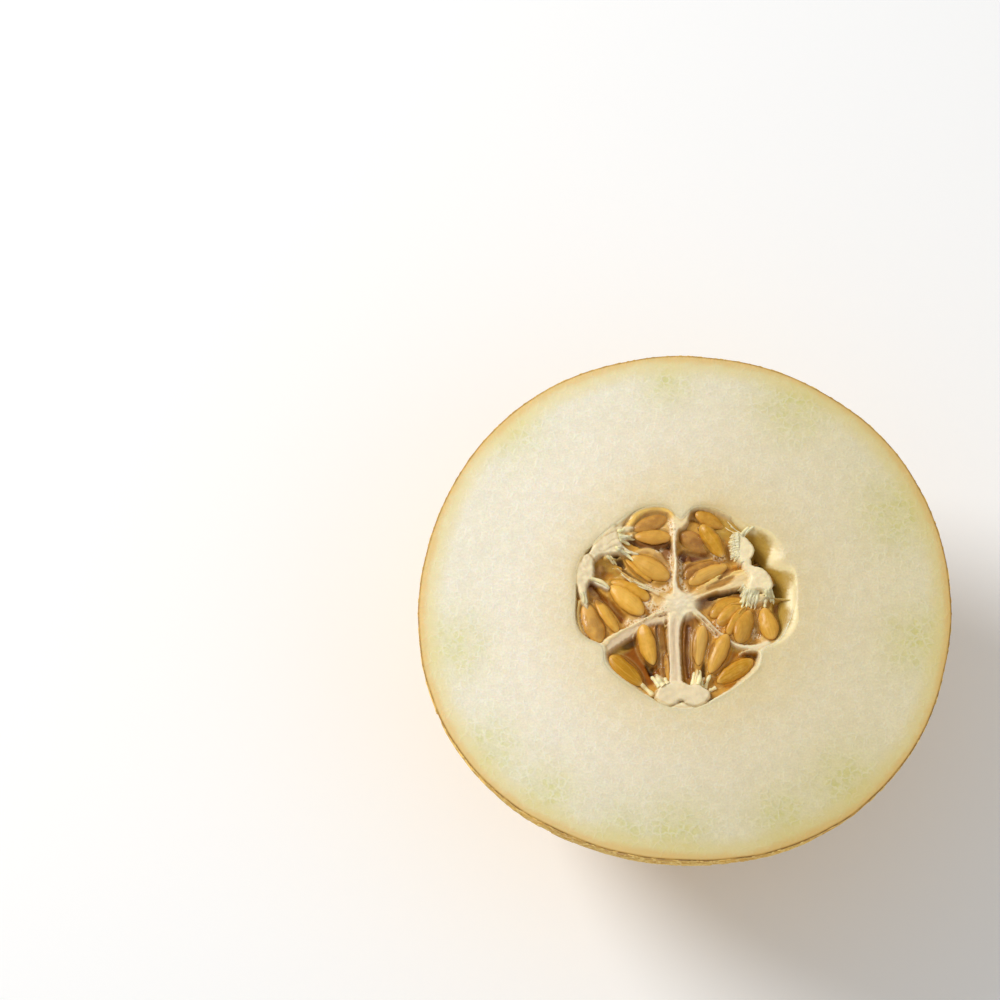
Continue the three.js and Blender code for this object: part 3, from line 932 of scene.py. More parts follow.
# kind, places, size (half widths along a band, or the two reaches of a patch and its turn),
# level, width of the soft edge, tint, how much it covers, grain
underTissues = (
    ("patch", (-8.5, 21.8), (7.5, 3.9, 14), -1.0, 1.6, "sand", 1.0, 0.1),
    ("patch", (4.5, 19.0), (5.8, 6.0, 0), -2.4, 2.0, "gel", 1.0, 0.2),
    ("patch", (10.0, 21.8), (5.0, 3.4, -30), -2.2, 2.0, "olive", 1.0, 0.3),
    ("patch", (-9.0, 10.4), (6.0, 3.6, -25), -1.9, 1.6, "tan", 1.0, 0.15),
    ("band", ((-14.2, 17.9), (-11.4, 16.7), (-8.5, 16.3), (-5.4, 15.9), (-3.6, 15.2)), (0.7, 1.0, 1.7),
     -3.6, 0.9, "mauve", 1.0, 0.2),
    ("patch", (-4.6, 14.0), (1.5, 1.7, 0), -2.6, 1.0, "greyMauve", 0.9, 0.1),
    ("band", ((-12.6, 14.2), (-9.5, 14.9), (-6.6, 13.6), (-4.6, 10.6)), (0.5, 0.9, 0.5), -1.3, 0.9, "sand",
     0.9, 0.1),
    ("band", ((0.0, 13.4), (3.2, 13.4), (6.8, 13.8), (9.0, 13.3)), (1.5, 1.2, 0.6), -3.6, 0.9, "mauve", 1.0,
     0.15),
    ("patch", (1.0, 8.2), (1.2, 4.5, 0), -2.0, 1.0, "gel", 0.9, 0.1),
    ("patch", (5.5, 10.4), (4.0, 2.2, 15), -1.9, 1.2, "tan", 1.0, 0.1),
    ("patch", (-20.0, 9.0), (3.6, 2.8, -20), -2.5, 1.8, "olive", 1.0, 0.2),
    ("patch", (-19.6, 8.0), (1.8, 1.0, -10), -3.0, 1.0, "amber", 0.8, 0.2),
    ("patch", (-22.0, 9.6), (1.2, 1.7, -20), -1.8, 1.4, "greyMauve", 0.8, 0.1),
    # two dark bands: painted shade in the crevices between the seeds
    ("band", ((-17.6, 12.6), (-16.4, 11.4), (-15.6, 10.6)), (0.8, 0.9, 0.4), -3.6, 0.6, "dark", 0.8, 0.2),
    ("band", ((-15.7, 9.5), (-13.8, 8.0), (-10.8, 6.2), (-8.8, 5.2)), (0.5, 0.4, 0.3), -2.6, 0.5, "dark",
     0.65, 0.2),
    ("patch", (-14.0, 1.6), (6.0, 3.6, -42), -2.0, 1.6, "amber", 1.0, 0.1),
    ("patch", (-8.5, 1.5), (2.6, 2.0, -30), -1.4, 1.4, "sand", 1.0, 0.1),
    # the jelly's amber-brown, darkened with painted shade in the crevice between seeds F, G and H
    ("band", ((-24.1, 5.6), (-22.0, 2.8), (-19.1, 0.2), (-16.4, -3.0), (-14.4, -5.6)), (0.9, 0.9, 0.9),
     -3.4, 0.7, "rust", 1.0, 0.3),
    ("band", ((-24.2, 4.6), (-22.6, 2.4), (-21.2, 0.6)), (0.7, 0.8, 0.4), -2.2, 0.9, "smoke", 0.9, 0.2),
    ("patch", (-13.6, -3.9), (2.6, 1.5, 30), -1.5, 1.4, "sand", 0.9, 0.3),
    ("patch", (-24.4, -4.4), (2.7, 5.6, 12), -1.3, 1.2, "gel", 1.0, 0.3),
    ("band", ((-27.2, 1.0), (-27.4, -2.5), (-26.6, -6.0), (-24.6, -9.4), (-22.0, -11.0)), (0.4, 0.8, 0.4),
     -0.7, 0.9, "straw", 0.9, 0.2),
    # the pocket at the lower left and the jelly columns beside the stalk
    ("patch", (-13.0, -14.5), (7.5, 6.4, -45), -2.9, 1.4, "rust", 1.0, 0.35),
    ("patch", (-16.6, -11.0), (3.0, 1.6, 25), -2.6, 1.2, "olive", 0.9, 0.6),
    # painted shade deep in the pocket
    ("patch", (-14.4, -10.2), (2.0, 0.9, 20), -3.4, 0.9, "dark", 0.55, 0.8),
    ("patch", (-18.4, -16.4), (2.4, 5.4, 52), -1.9, 1.0, "amber", 0.9, 0.1),
    # painted shade in a deep crevice
    ("band", ((-10.4, -11.5), (-9.4, -15.0), (-8.8, -17.8)), (0.7, 1.1, 0.6), -4.2, 0.7, "dark", 0.9, 0.3),
    ("patch", (-9.6, -7.6), (2.8, 4.4, 10), -1.8, 1.4, "amber", 0.9, 0.1),
    ("band", ((-6.0, -4.0), (-7.0, -6.0), (-6.7, -9.3), (-6.3, -13.7), (-5.6, -18.1), (-5.2, -20.6)),
     (1.0, 1.2, 1.4, 1.5, 1.3, 0.8), -1.3, 0.8, "brown", 1.0, 0.8),
    ("band", ((-7.4, -5.5), (-7.3, -9.3), (-7.0, -13.7), (-6.9, -16.1)), (0.3, 0.35, 0.3), -1.9, 0.5,
     "smoke", 0.75, 0.3),
    ("band", ((1.3, -4.4), (0.9, -8.0), (0.6, -13.0), (0.6, -19.4)), (1.9, 1.9, 1.7, 1.0), -1.5, 0.9,
     "brown", 1.0, 1.0),
    ("band", ((0.6, -5.6), (0.5, -9.0), (0.4, -14.0), (0.6, -18.6)), (0.6, 0.7, 0.6, 0.4), -2.2, 0.7,
     "mauve", 0.6, 0.8),
    ("patch", (3.2, -11.0), (2.0, 6.0, 4), -2.0, 1.2, "tan", 0.8, 0.3),
    # painted shade in the crevice between seeds L and M
    ("band", ((5.6, -12.5), (4.9, -15.5), (4.2, -18.4)), (0.5, 0.8, 0.5), -3.4, 0.6, "dark", 0.6, 0.3),
    ("patch", (8.6, -12.0), (3.2, 6.0, -22), -2.0, 1.4, "amber", 0.9, 0.2),
    # the pocket at the lower right
    ("patch", (13.4, -16.2), (6.6, 4.6, 35), -2.8, 1.0, "amber", 1.0, 0.2),
    ("band", ((13.4, -11.4), (11.6, -14.0), (9.4, -17.0), (7.2, -20.0)), (0.9, 1.0, 0.7), -2.2, 0.9,
     "amber", 0.95, 0.5),
    # painted shade beside seed N
    ("patch", (17.0, -13.4), (2.2, 0.9, -12), -3.4, 0.7, "dark", 0.6, 0.5),
    ("patch", (12.5, -11.2), (2.4, 0.9, -10), -1.8, 0.8, "olive", 0.8, 0.6),
    # right of the middle
    ("patch", (12.0, -3.0), (5.6, 4.6, 20), -2.1, 1.6, "amber", 1.0, 0.15),
    ("patch", (18.6, -4.4), (2.0, 4.2, 0), -2.3, 1.4, "rust", 0.8, 0.3),
    ("patch", (5.0, 1.0), (3.0, 1.5, 25), -2.5, 1.4, "smoke", 1.0, 0.1),
    # painted shadow between the white fold and seed O
    ("band", ((6.4, 2.4), (9.0, 3.2), (12.0, 4.0), (14.6, 4.3)), (0.6, 0.7, 0.4), -3.8, 0.7, "dark", 0.75,
     0.3),
    ("patch", (13.6, 2.8), (2.2, 0.8, 0), -2.8, 0.8, "rust", 0.8, 0.2),
    ("patch", (25.6, -2.6), (4.6, 6.4, -8), -2.0, 1.8, "olive", 1.0, 0.2),
    ("patch", (24.5, -2.2), (2.3, 4.4, -14), -3.6, 1.1, "shade", 1.0, 0.5),
    ("patch", (23.6, 0.0), (1.2, 1.5, -12), -3.8, 1.0, "rust", 0.4, 0.3),
    ("band", ((25.2, 0.6), (26.2, -2.4), (25.2, -5.6), (24.2, -7.6)), (0.3, 0.35, 0.3), -2.6, 1.0, "honey",
     0.3, 0.3),
    ("band", ((29.0, 3.4), (29.2, 0.4), (28.9, -3.4), (27.7, -6.4), (25.4, -8.8)), (0.8, 1.0, 1.0, 0.8),
     -1.1, 2.2, "sand", 0.9, 0.3),
    ("patch", (21.0, -9.0), (2.6, 1.5, -15), -1.3, 1.2, "sand", 0.9, 0.3),
)
overTissues = (
    # broad see-through walls first, then the white strands and the middle
    ("band", ((-20.6, -11.8), (-17.8, -9.3), (-14.6, -7.3), (-12.4, -5.6), (-9.6, -4.4), (-5.6, -3.6)),
     (1.1, 1.5, 1.3, 1.1, 0.8), -0.7, 1.3, "pith", 0.92, 0.2),
    ("band", ((-13.6, -8.6), (-12.9, -6.3), (-11.2, -4.5), (-8.9, -3.5), (-6.4, -3.6), (-5.2, -5.4)),
     (0.15, 0.3, 0.2), -0.8, 0.5, "cream", 0.6, 0.1),
    ("band", ((-17.7, 9.8), (-14.1, 7.4), (-11.0, 5.6), (-7.4, 3.6), (-4.0, 2.0)), (0.35, 0.4, 0.6, 1.0),
     -1.0, 0.7, "sand", 0.9, 0.4),
    ("band", ((-16.4, 8.2), (-13.5, 6.3), (-10.5, 4.8), (-7.0, 2.9)), (0.15, 0.2, 0.3), -0.8, 0.4, "cream",
     0.8, 0.2),
    ("band", ((1.6, 2.2), (5.2, 4.3), (9.0, 5.6), (13.0, 6.8), (16.0, 7.2)), (1.0, 1.5, 1.7, 2.0, 2.2),
     -0.9, 1.1, "sand", 1.0, 0.9),
    ("band", ((5.0, 5.3), (8.2, 7.2), (11.6, 8.4), (15.2, 9.0)), (0.3, 0.7, 0.8, 0.9), -0.7, 0.8, "straw",
     0.9, 0.5),
    ("band", ((1.0, 1.1), (5.4, 3.2), (10.1, 4.9), (14.9, 6.0)), (0.7, 0.3, 0.3, 0.5), -0.6, 0.6, "cream",
     0.75, 0.4),
    ("band", ((8.8, 7.2), (10.9, 9.0), (13.0, 10.3)), (0.3, 0.8, 0.5), -1.6, 0.6, "rust", 0.7, 1.2),
    ("band", ((6.0, 4.6), (9.0, 5.9), (12.4, 7.4)), (0.5, 0.9, 0.5), -1.2, 0.8, "gel", 0.85, 0.9),
    ("band", ((9.0, 3.9), (12.0, 5.1), (14.0, 6.4), (16.2, 7.4)), (0.4, 0.8, 1.6, 2.0), -0.5, 1.2, "cream",
     0.75, 0.6),
    ("band", ((22.4, 2.5), (24.3, 2.1), (26.2, 1.8), (27.6, 1.9)), (0.35, 0.2, 0.25), -1.0, 0.5, "straw",
     0.95, 0.2),
    ("band", ((13.9, 19.0), (13.2, 17.4), (12.9, 15.4), (13.4, 13.0), (14.2, 11.6)), (0.7, 1.3, 1.3, 0.7),
     -0.2, 1.2, "cream", 0.95, 0.6),
    ("band", ((15.6, 4.8), (16.4, 3.0), (18.0, 2.0), (19.6, 2.2), (21.4, 3.0)), (0.9, 1.4, 1.4, 0.8), -0.3,
     1.4, "cream", 0.95, 0.6),
    ("band", ((-6.2, -21.0), (-7.0, -19.6), (-7.6, -18.2)), (1.3, 1.1, 0.4), -0.5, 0.8, "cream", 0.9, 0.4),
    ("band", ((2.6, -21.2), (2.6, -18.6), (2.8, -17.2)), (1.0, 0.8, 0.3), -0.5, 0.8, "cream", 0.9, 0.4),
    ("band", ((-17.8, 20.8), (-15.4, 23.4), (-12.0, 25.8), (-8.6, 27.0)), (1.0, 1.0, 0.7, 0.4), -0.45, 1.1,
     "flesh", 0.9, 0.2),
    ("band", ((-13.9, 21.6), (-12.2, 24.4), (-9.4, 26.1), (-6.4, 26.3), (-3.9, 25.4), (-2.6, 23.8)),
     (0.7, 1.1, 0.7), -0.5, 1.1, "honey", 0.95, 0.1),
    ("band", ((-17.4, 18.8), (-17.0, 16.9), (-15.9, 15.4), (-14.4, 14.3), (-12.2, 13.5)), (0.6, 0.5, 0.35),
     -0.5, 0.6, "leaf", 0.95, 0.3),
    ("band", ((-17.6, 17.4), (-15.4, 17.9), (-13.6, 18.5)), (0.9, 0.8, 0.3), -0.7, 0.8, "leaf", 0.9, 0.5),
    ("band", ((-17.4, 20.0), (-15.4, 20.2), (-13.4, 20.6)), (1.0, 0.9, 0.3), -0.6, 0.8, "leaf", 0.85, 0.6),
    ("band", ((-26.4, 3.6), (-25.8, 0.6), (-25.0, -1.4)), (1.1, 0.8, 0.3), -0.5, 1.0, "leaf", 0.85, 0.5),
    ("band", ((-20.2, 15.4), (-17.4, 14.2), (-14.4, 13.3)), (0.8, 0.6, 0.2), -0.6, 0.8, "leaf", 0.8, 0.5),
    ("band", ((-20.4, 12.8), (-18.0, 12.3), (-16.6, 12.8)), (0.6, 0.4, 0.2), -0.9, 0.7, "straw", 0.7, 0.5),
    ("band", ((-24.3, 7.0), (-22.0, 5.7), (-19.9, 4.4)), (0.6, 0.7, 0.5), -0.4, 0.5, "white", 1.0, 0.3),
    # septa
    ("band", ((-1.6, 1.5), (-2.4, 4), (-2.7, 6.6), (-2.5, 11), (-2.7, 15.5), (-2.5, 19.5), (-1.9, 21.5),
      (-1.0, 23.2), (-0.4, 25.2)), (2.0, 1.0, 0.8, 0.75, 0.7, 0.8, 1.2, 1.8, 2.2), -0.6, 1.1, "sand", 0.8,
     0.3),
    ("band", ((-1.6, 1.5), (-2.5, 4), (-2.8, 6.6), (-2.4, 11), (-2.75, 15.5), (-2.5, 19.5), (-1.9, 21.5),
      (-1.0, 23.2), (-0.4, 25.2)), (1.6, 0.7, 0.45, 0.4, 0.4, 0.4, 0.5, 1.3, 2.0), -0.2, 0.75, "white", 1.0,
     0.25),
    ("band", ((-2.5, 0.2), (-4.8, -0.8), (-10.3, -3.7), (-15.1, -6.2), (-19.4, -8.8), (-21.3, -10.8)),
     (1.6, 0.8, 0.4, 0.35, 0.5, 0.9), -0.3, 0.85, "cream", 1.0, 0.25),
    ("band", ((-0.5, -0.2), (2.4, -1.5), (5.3, -3.8), (7.6, -6.3), (9.9, -8.2), (12.2, -10.1),
      (14.8, -10.9), (18.2, -11.0), (20.6, -10.6)), (1.3, 0.8, 0.5, 0.35, 0.35, 0.45, 0.65, 0.9, 1.4),
     -0.35, 1.0, "leaf", 1.0, 0.3),
    ("band", ((2.2, -2.2), (5.0, -4.8), (7.6, -7.4)), (0.3, 0.25, 0.15), -0.5, 0.5, "cream", 0.8, 0.2),
    ("band", ((-1.9, -1.0), (-2.9, -4), (-3.1, -9), (-2.9, -14), (-2.8, -20.5)),
     (2.2, 1.75, 1.5, 1.45, 1.7), -0.4, 0.9, "pith", 0.97, 0.6),
    ("band", ((-3.4, -2.4), (-4.1, -6), (-4.15, -12), (-3.9, -20)), (0.5, 0.35, 0.3, 0.5), -0.25, 0.8,
     "white", 0.6, 0.5),
    ("band", ((-0.8, -2.4), (-2.0, -6), (-2.1, -12), (-1.7, -20)), (0.5, 0.35, 0.3, 0.5), -0.25, 0.8,
     "white", 0.6, 0.5),
    ("patch", (-1.4, 0.2), (4.8, 3.7, 10), -0.35, 2.6, "leaf", 0.95, 0.9),
    ("patch", (-1.2, 0.6), (2.2, 1.8, 30), -0.2, 2.2, "white", 0.9, 0.7),
    ("patch", (-1.0, 22.6), (2.2, 2.2, 0), -0.3, 1.8, "cream", 0.9, 0.5),
    # the rims of the two lower pockets
    ("band", ((13.7, -12.7), (15.2, -12.0), (17.9, -11.9), (19.2, -12.6)), (0.2, 0.3, 0.4), -0.4, 0.45,
     "cream", 0.9, 0.2),
    ("band", ((4.6, -19.8), (5.8, -19.0), (7.0, -18.6)), (0.6, 0.6, 0.3), -0.9, 0.8, "greyMauve", 0.6, 0.2),
    ("band", ((-10.8, -24.6), (-7.6, -27.4), (-1.2, -28.6), (5.2, -27.4), (8.8, -24.4)),
     (0.9, 2.4, 3.2, 2.4, 0.9), -0.08, 0.4, "flesh", 1.0, 0.0),
)
# white masses with round shoulders: outline, level of the top, shoulder width, tint, soft inner edge
masses = (
    (((-17.6, 20.4), (-19.4, 21.0), (-21.2, 19.9), (-23.0, 18.0), (-24.0, 15.4), (-25.0, 13.9),
      (-26.6, 13.2), (-28.0, 11.2), (-28.8, 8.8), (-28.6, 6.2), (-27.9, 4.6), (-27.3, 2.8), (-26.4, 1.4),
      (-25.6, 1.6), (-25.3, 3.8), (-24.6, 5.8), (-23.6, 6.9), (-23.2, 9.0), (-23.3, 11.2), (-21.8, 12.9),
      (-19.6, 13.2), (-17.2, 13.7), (-16.0, 14.6), (-16.4, 16.4), (-17.0, 18.2)), 0.0, 0.8, "leaf", 0.6,
     0.22),
    (((-7.9, -22.2), (-8.3, -24.1), (-7.3, -25.7), (-5.0, -26.7), (-2.9, -26.1), (-1.3, -25.3),
      (0.3, -26.2), (2.6, -26.7), (4.6, -25.9), (5.9, -24.4), (6.0, -22.8), (4.8, -21.7), (3.2, -20.9),
      (0.7, -20.7), (-1.2, -20.0), (-4.2, -20.3), (-6.2, -21.1)), 0.1, 0.8, "leaf", 0.5, 0.1),
    (((12.4, 18.4), (13.2, 19.3), (14.7, 18.8), (16.6, 17.4), (17.9, 15.4), (18.1, 13.4), (17.2, 11.2),
      (17.6, 10.6), (19.7, 10.1), (21.6, 8.3), (22.6, 6.2), (22.7, 4.2), (21.6, 3.2), (20.2, 3.2),
      (19.2, 3.6), (17.6, 3.4), (16.2, 3.8), (15.8, 5.6), (16.3, 7.4), (15.2, 9.2), (14.2, 10.8),
      (13.2, 12.6), (13.1, 14.4), (12.6, 16.4)), 1.0, 0.95, "bright", 0.4, 0.12),
)
# fine creases, sunk and darkened with painted shade: path, half width, depth, tint of the painted shade, how
# much of it
creases = (
    (((-7.7, -22.6), (-8.3, -24.2), (-7.3, -25.8), (-5.0, -26.8), (-2.9, -26.2), (-1.3, -25.4),
      (0.3, -26.3), (2.6, -26.8), (4.6, -26.0), (5.9, -24.5), (6.1, -23.0)), 0.26, 0.35, "creaseShade", 0.75),
    (((-16.6, 20.6), (-18.2, 21.4), (-19.8, 21.4), (-21.8, 19.9), (-23.4, 18.0), (-24.4, 15.4),
      (-25.1, 14.1), (-26.3, 12.3), (-27.6, 9.3), (-28.0, 6.8), (-28.0, 4.6), (-27.8, 3.0)), 0.3, 0.12,
     "creaseShade", 0.3),
    (((-24.8, 13.4), (-23.9, 12.6), (-23.1, 11.6)), 0.3, 0.25, "creaseShade", 0.6),
    (((-17.6, 19.6), (-19.0, 19.0), (-20.4, 18.2)), 0.2, 0.15, "creaseShade", 0.4),
    (((-17.0, 17.6), (-18.8, 17.0), (-20.0, 15.8)), 0.2, 0.15, "creaseShade", 0.35),
    (((-16.6, 15.8), (-18.6, 15.4), (-20.6, 14.2), (-22.0, 14.2)), 0.2, 0.15, "creaseShade", 0.35),
    (((-16.2, 20.0), (-15.2, 22.4), (-12.7, 24.9), (-9.2, 26.6), (-6.0, 26.9), (-3.6, 25.9), (-2.4, 23.8)),
     0.22, 0.2, "creaseShade", 0.5),
)
# lines along which the pulp is frothy, and how wide
frothLines = (
    (((-3.9, 5.6), (-3.6, 8.0), (-3.7, 11.0), (-3.6, 13.4)), 0.7), (((-9.6, 5.4), (-7.6, 4.3), (-5.4, 4.6),
      (-3.9, 6.0)), 0.8),
    (((-10.0, 1.6), (-8.6, -0.4), (-7.0, -1.6), (-5.2, -1.6)), 1.3), (((-14.6, -4.6), (-12.4, -4.4),
      (-10.4, -3.2)), 0.9),
    (((-3.6, 22.2), (-2.8, 20.6), (-3.2, 19.4)), 0.9), (((-1.2, 13.0), (-1.2, 9.6), (-0.9, 6.6),
      (0.2, 4.2)), 0.6),
    (((4.4, -4.4), (6.2, -6.0), (7.8, -7.8)), 0.5), (((8.0, 13.0), (10.0, 12.8)), 0.7), (((-26.6, -3.0),
      (-25.4, -7.6)), 0.5),
    (((17.2, -6.6), (17.6, -7.6)), 0.9), (((8.6, -3.4), (8.2, -6.0)), 0.7), (((-7.0, 14.7), (-6.0, 15.2)),
     0.5),
)
frothLook = {
    "size": 0.75,
    "soft": 0.4,
    "wall": (linear(240, 218, 178), 0.3, 0.62),
    "pit": (linear(146, 104, 58), 0.3, 0.12, 0.0, 0.6),
}
seedNest = {"reach": 1.0, "groove": 0.22, "grooveWidth": 0.32, "lip": 0.9, "lipWidth": 0.3, "lipShare": 0.22,
            "hug": 0.8, "warmth": (202, 148, 58)}


def tintOf(name):
    return np.array(linear(*tissueTints[name])[:3])


def blend(values, target, share):
    # moves the values towards a target by a share, in place
    values += (target - values) * (share[:, None] if values.ndim > 1 else share)


def smoothPath(path, pieces=5):
    # a Catmull-Rom curve through the given points
    path = np.array(path, float)
    padded = np.concatenate([[2 * path[0] - path[1]], path, [2 * path[-1] - path[-2]]])
    out = []
    for a, b, c, d in zip(padded, padded[1:], padded[2:], padded[3:]):
        for step in range(pieces):
            t = step / pieces
            out.append(0.5 * (2 * b + (c - a) * t + (2 * a - 5 * b + 4 * c - d) * t * t
                              + (3 * b - a - 3 * c + d) * t ** 3))
    return np.array(out + [path[-1]])


def pathPlace(x, y, path):
    # for each place: distance to a line, share along it and signed distance across it; and its length
    nearest = np.full(x.shape, 1e9)
    share, across = np.zeros(x.shape), np.zeros(x.shape)
    lengths = np.linalg.norm(np.diff(path, axis=0), axis=1)
    done = 0.0
    for (ax, ay), (bx, by), length in zip(path, path[1:], lengths):
        ux, uy = (bx - ax) / length, (by - ay) / length
        along = np.clip((x - ax) * ux + (y - ay) * uy, 0, length)
        offX, offY = x - ax - along * ux, y - ay - along * uy
        away = np.hypot(offX, offY)
        closer = away < nearest
        nearest = np.where(closer, away, nearest)
        share = np.where(closer, (done + along) / lengths.sum(), share)
        across = np.where(closer, np.sign(ux * offY - uy * offX) * away, across)
        done += length
    return nearest, share, across, lengths.sum()


def insideDepth(x, y, outline):
    # distance inside a closed outline, negative outside
    ring = smoothPath((*outline, outline[0]), 3)
    inside = np.zeros(x.shape, bool)
    for (ax, ay), (bx, by) in zip(ring, ring[1:]):
        if ay != by:
            inside ^= ((ay > y) != (by > y)) & (x < (bx - ax) * (y - ay) / (by - ay) + ax)
    away = pathPlace(x, y, ring)[0]
    return np.where(inside, away, -away)


def roundShoulder(depth, width):
    # rises from 0 at the edge to 1 at width inside it, like a quarter of a circle
    return np.sqrt(np.clip(1 - (1 - np.clip(depth / width, 0, 1)) ** 2, 0, 1))


def coreOutline(angle):
    # the core fills the hollow, but on one side it has drawn back behind its two free lobes
    full = hollowOutline(angle) + core["tuck"]
    near, far = core["gapBacks"]
    back = np.where(angle % 360 > 180, far, near)
    for place, radius in core["lobes"]:
        offset = np.array(place) - hollowMiddle
        along = rays(angle) @ offset
        aside = offset @ offset - along ** 2
        reach = along + np.sqrt(np.maximum(radius ** 2 - aside, 0.0))
        back = np.maximum(np.where(aside < radius ** 2, reach, 0.0), back)
    turned = (angle + 180.0) % 360.0 - 180.0
    window = smoothStep(*core["gapOpens"], turned) * (1 - smoothStep(*core["gapCloses"], turned))
    return full + (np.minimum(back, full) - full) * window


def tissueShare(top, kind, places, size, level, soft):
    # how fully one tissue covers each place, and its lengthwise grain there
    x, y = top.x, top.y
    if kind == "band":
        away, along, across, length = pathPlace(x, y, smoothPath(places))
        edge = away - np.interp(along, np.linspace(0, 1, len(size)), size)
        fine, long = core["bandGrain"]
        lines = np.stack([across * fine, along * length * long, np.full_like(x, level)], -1)
    else:
        turn = math.radians(size[2])
        u = ((x - places[0]) * math.cos(turn) + (y - places[1]) * math.sin(turn))
        v = (-(x - places[0]) * math.sin(turn) + (y - places[1]) * math.cos(turn))
        edge = (np.hypot(u / size[0], v / size[1]) - 1) * min(size[0], size[1])
        fine, long = core["patchGrain"]
        lines = np.stack([v * fine, u * long, np.full_like(x, places[0])], -1)
    share = 1 - smoothStep(-soft / 2, soft / 2, edge + core["ragged"] * top.rough)
    streak = np.zeros_like(x)
    near = share > 0.01
    streak[near] = noiseAt(lines[near], 1.0, 3.0, 3)
    return share, streak


def layTissues(top, tissues):
    for kind, places, size, level, soft, tint, cover, grain in tissues:
        share, streak = tissueShare(top, kind, places, size, level, soft)
        streak *= grain
        blend(top.height, level + core["grainHeight"] * streak, share)
        blend(top.colour, tintOf(tint) * (1 + core["grainShade"] * streak)[:, None], share * cover)
        blend(top.white, 1.0 if tint in core["whiteTints"] else 0.25, share * cover)


def nestSeeds(top):
    # tissue climbs a little round each seed, with a fine groove at its edge that is darkened with painted
    # shade
    for crown, tip, width, level, _, roll, *_ in seedList.values():
        crown, tip = np.array(crown), np.array(tip)
        length = np.linalg.norm(tip - crown)
        ahead = (tip - crown) / length
        u = ((top.x - crown[0]) * ahead[0] + (top.y - crown[1]) * ahead[1]) / length
        v = -(top.x - crown[0]) * ahead[1] + (top.y - crown[1]) * ahead[0]
        half = seedHalf(np.clip(u, 0.02, 0.98)) * width / 2 * math.cos(math.radians(roll) * 0.8)
        away = np.hypot(np.maximum(np.abs(v) - half, 0), np.maximum(np.abs(u - 0.5) - 0.5, 0) * length)
        hug = (1 - smoothStep(0.1, seedNest["reach"], away)) * seedNest["hug"]
        top.height += np.maximum(level + 0.1 - top.height, -0.6) * hug
        groove = np.exp(-((away / seedNest["grooveWidth"]) ** 2))
        top.height -= seedNest["groove"] * groove
        blend(top.colour, np.array(linear(*seedNest["warmth"])[:3]), hug * 0.45)
        # painted shade in the groove
        top.colour *= (1 - 0.25 * groove)[:, None]
        lip = np.exp(-(((away - seedNest["lip"]) / seedNest["lipWidth"]) ** 2)) * seedNest["lipShare"]
        blend(top.colour, tintOf("straw"), lip)


def layMasses(top):
    # the white masses stand up with round shoulders
    for outline, level, shoulder, tint, soft, lumps in masses:
        depth = insideDepth(top.x, top.y, outline) + 0.12 * top.rough
        share = smoothStep(-soft / 2, soft / 2, depth)
        base = np.minimum(top.height, level - 0.5)
        blend(top.height, base + (level - base) * roundShoulder(depth, shoulder), share)
        lump = noiseAt(top.places, 1.5, 40.0, 3)
        top.height += lumps * lump * share
        blend(top.colour, tintOf(tint) * (1 + (0.05 + 0.25 * lumps) * lump)[:, None], share * 0.97)
        blend(top.white, 1.0, share)


def coreRim(top, free):
    # the flesh runs a little way into the core's edge, flush with the lip, and thins out
    angle = np.degrees(np.arctan2(top.y - hollowMiddle[1], top.x - hollowMiddle[0]))
    rimAway = top.rimAway + 0.15 * top.rough
    inward = (rimAway - core["tuck"]) / swollen(core["rim"], core["wideRims"], angle)
    turned = (angle + 180.0) % 360.0 - 180.0
    closed = (1 - free) * (1 - smoothStep(-3, 3, turned) * (1 - smoothStep(52, 62, turned)))
    blend(top.height, core["rimLevel"] - lipShape(angle)[2], (1 - smoothStep(0.0, 1.0, inward)) * closed)
    tint = np.tile(tintOf("flesh"), (len(angle), 1))
    # the rim takes the same painted shade as the flesh beside the core
    blend(tint, np.array(fleshLook["seamShadeTint"][:3]), seamShade(angle, rimAway))
    blend(tint, tintOf("sand"), smoothStep(0.3, 1.0, inward))
    cover = (1 - smoothStep(0.5, 1.2, inward)) * closed
    blend(top.colour, tint, cover)
    blend(top.white, 1.0, cover)


def layCreases(top):
    # each crease is sunk and darkened with painted shade
    for path, half, depth, tint, cover in creases:
        crease = np.exp(-((pathPlace(top.x, top.y, smoothPath(path))[0] + 0.12 * top.rough) / half) ** 2)
        blend(top.colour, tintOf(tint), cover * crease)
        top.height -= depth * crease


def frothShare(top):
    froth = np.zeros_like(top.x)
    for path, half in frothLines:
        away = pathPlace(top.x, top.y, smoothPath(path))[0]
        froth = np.maximum(froth, 1 - smoothStep(half - frothLook["soft"], half + frothLook["soft"], away))
    return froth


def coreTop(flat, rimAway, free):
    # height over the cut face, colour, and how white and dry each place of the core's top is
    top = SimpleNamespace(x=flat[:, 0], y=flat[:, 1], rimAway=rimAway, white=np.zeros(len(flat)))
    top.places = lifted(flat, 0.0)
    top.rough = noiseAt(top.places, 0.9, 21.0)
    broad = noiseAt(top.places, 4.0, 5.0)
    top.height = core["groundLevel"] + core["lumps"] * broad
    top.colour = tintOf("tan") * (1 + 0.15 * broad + 0.1 * top.rough)[:, None]
    layTissues(top, underTissues)
    nestSeeds(top)
    layTissues(top, overTissues)
    top.height += core["roughness"] * top.rough
    layMasses(top)
    coreRim(top, free)
    layCreases(top)
    return top


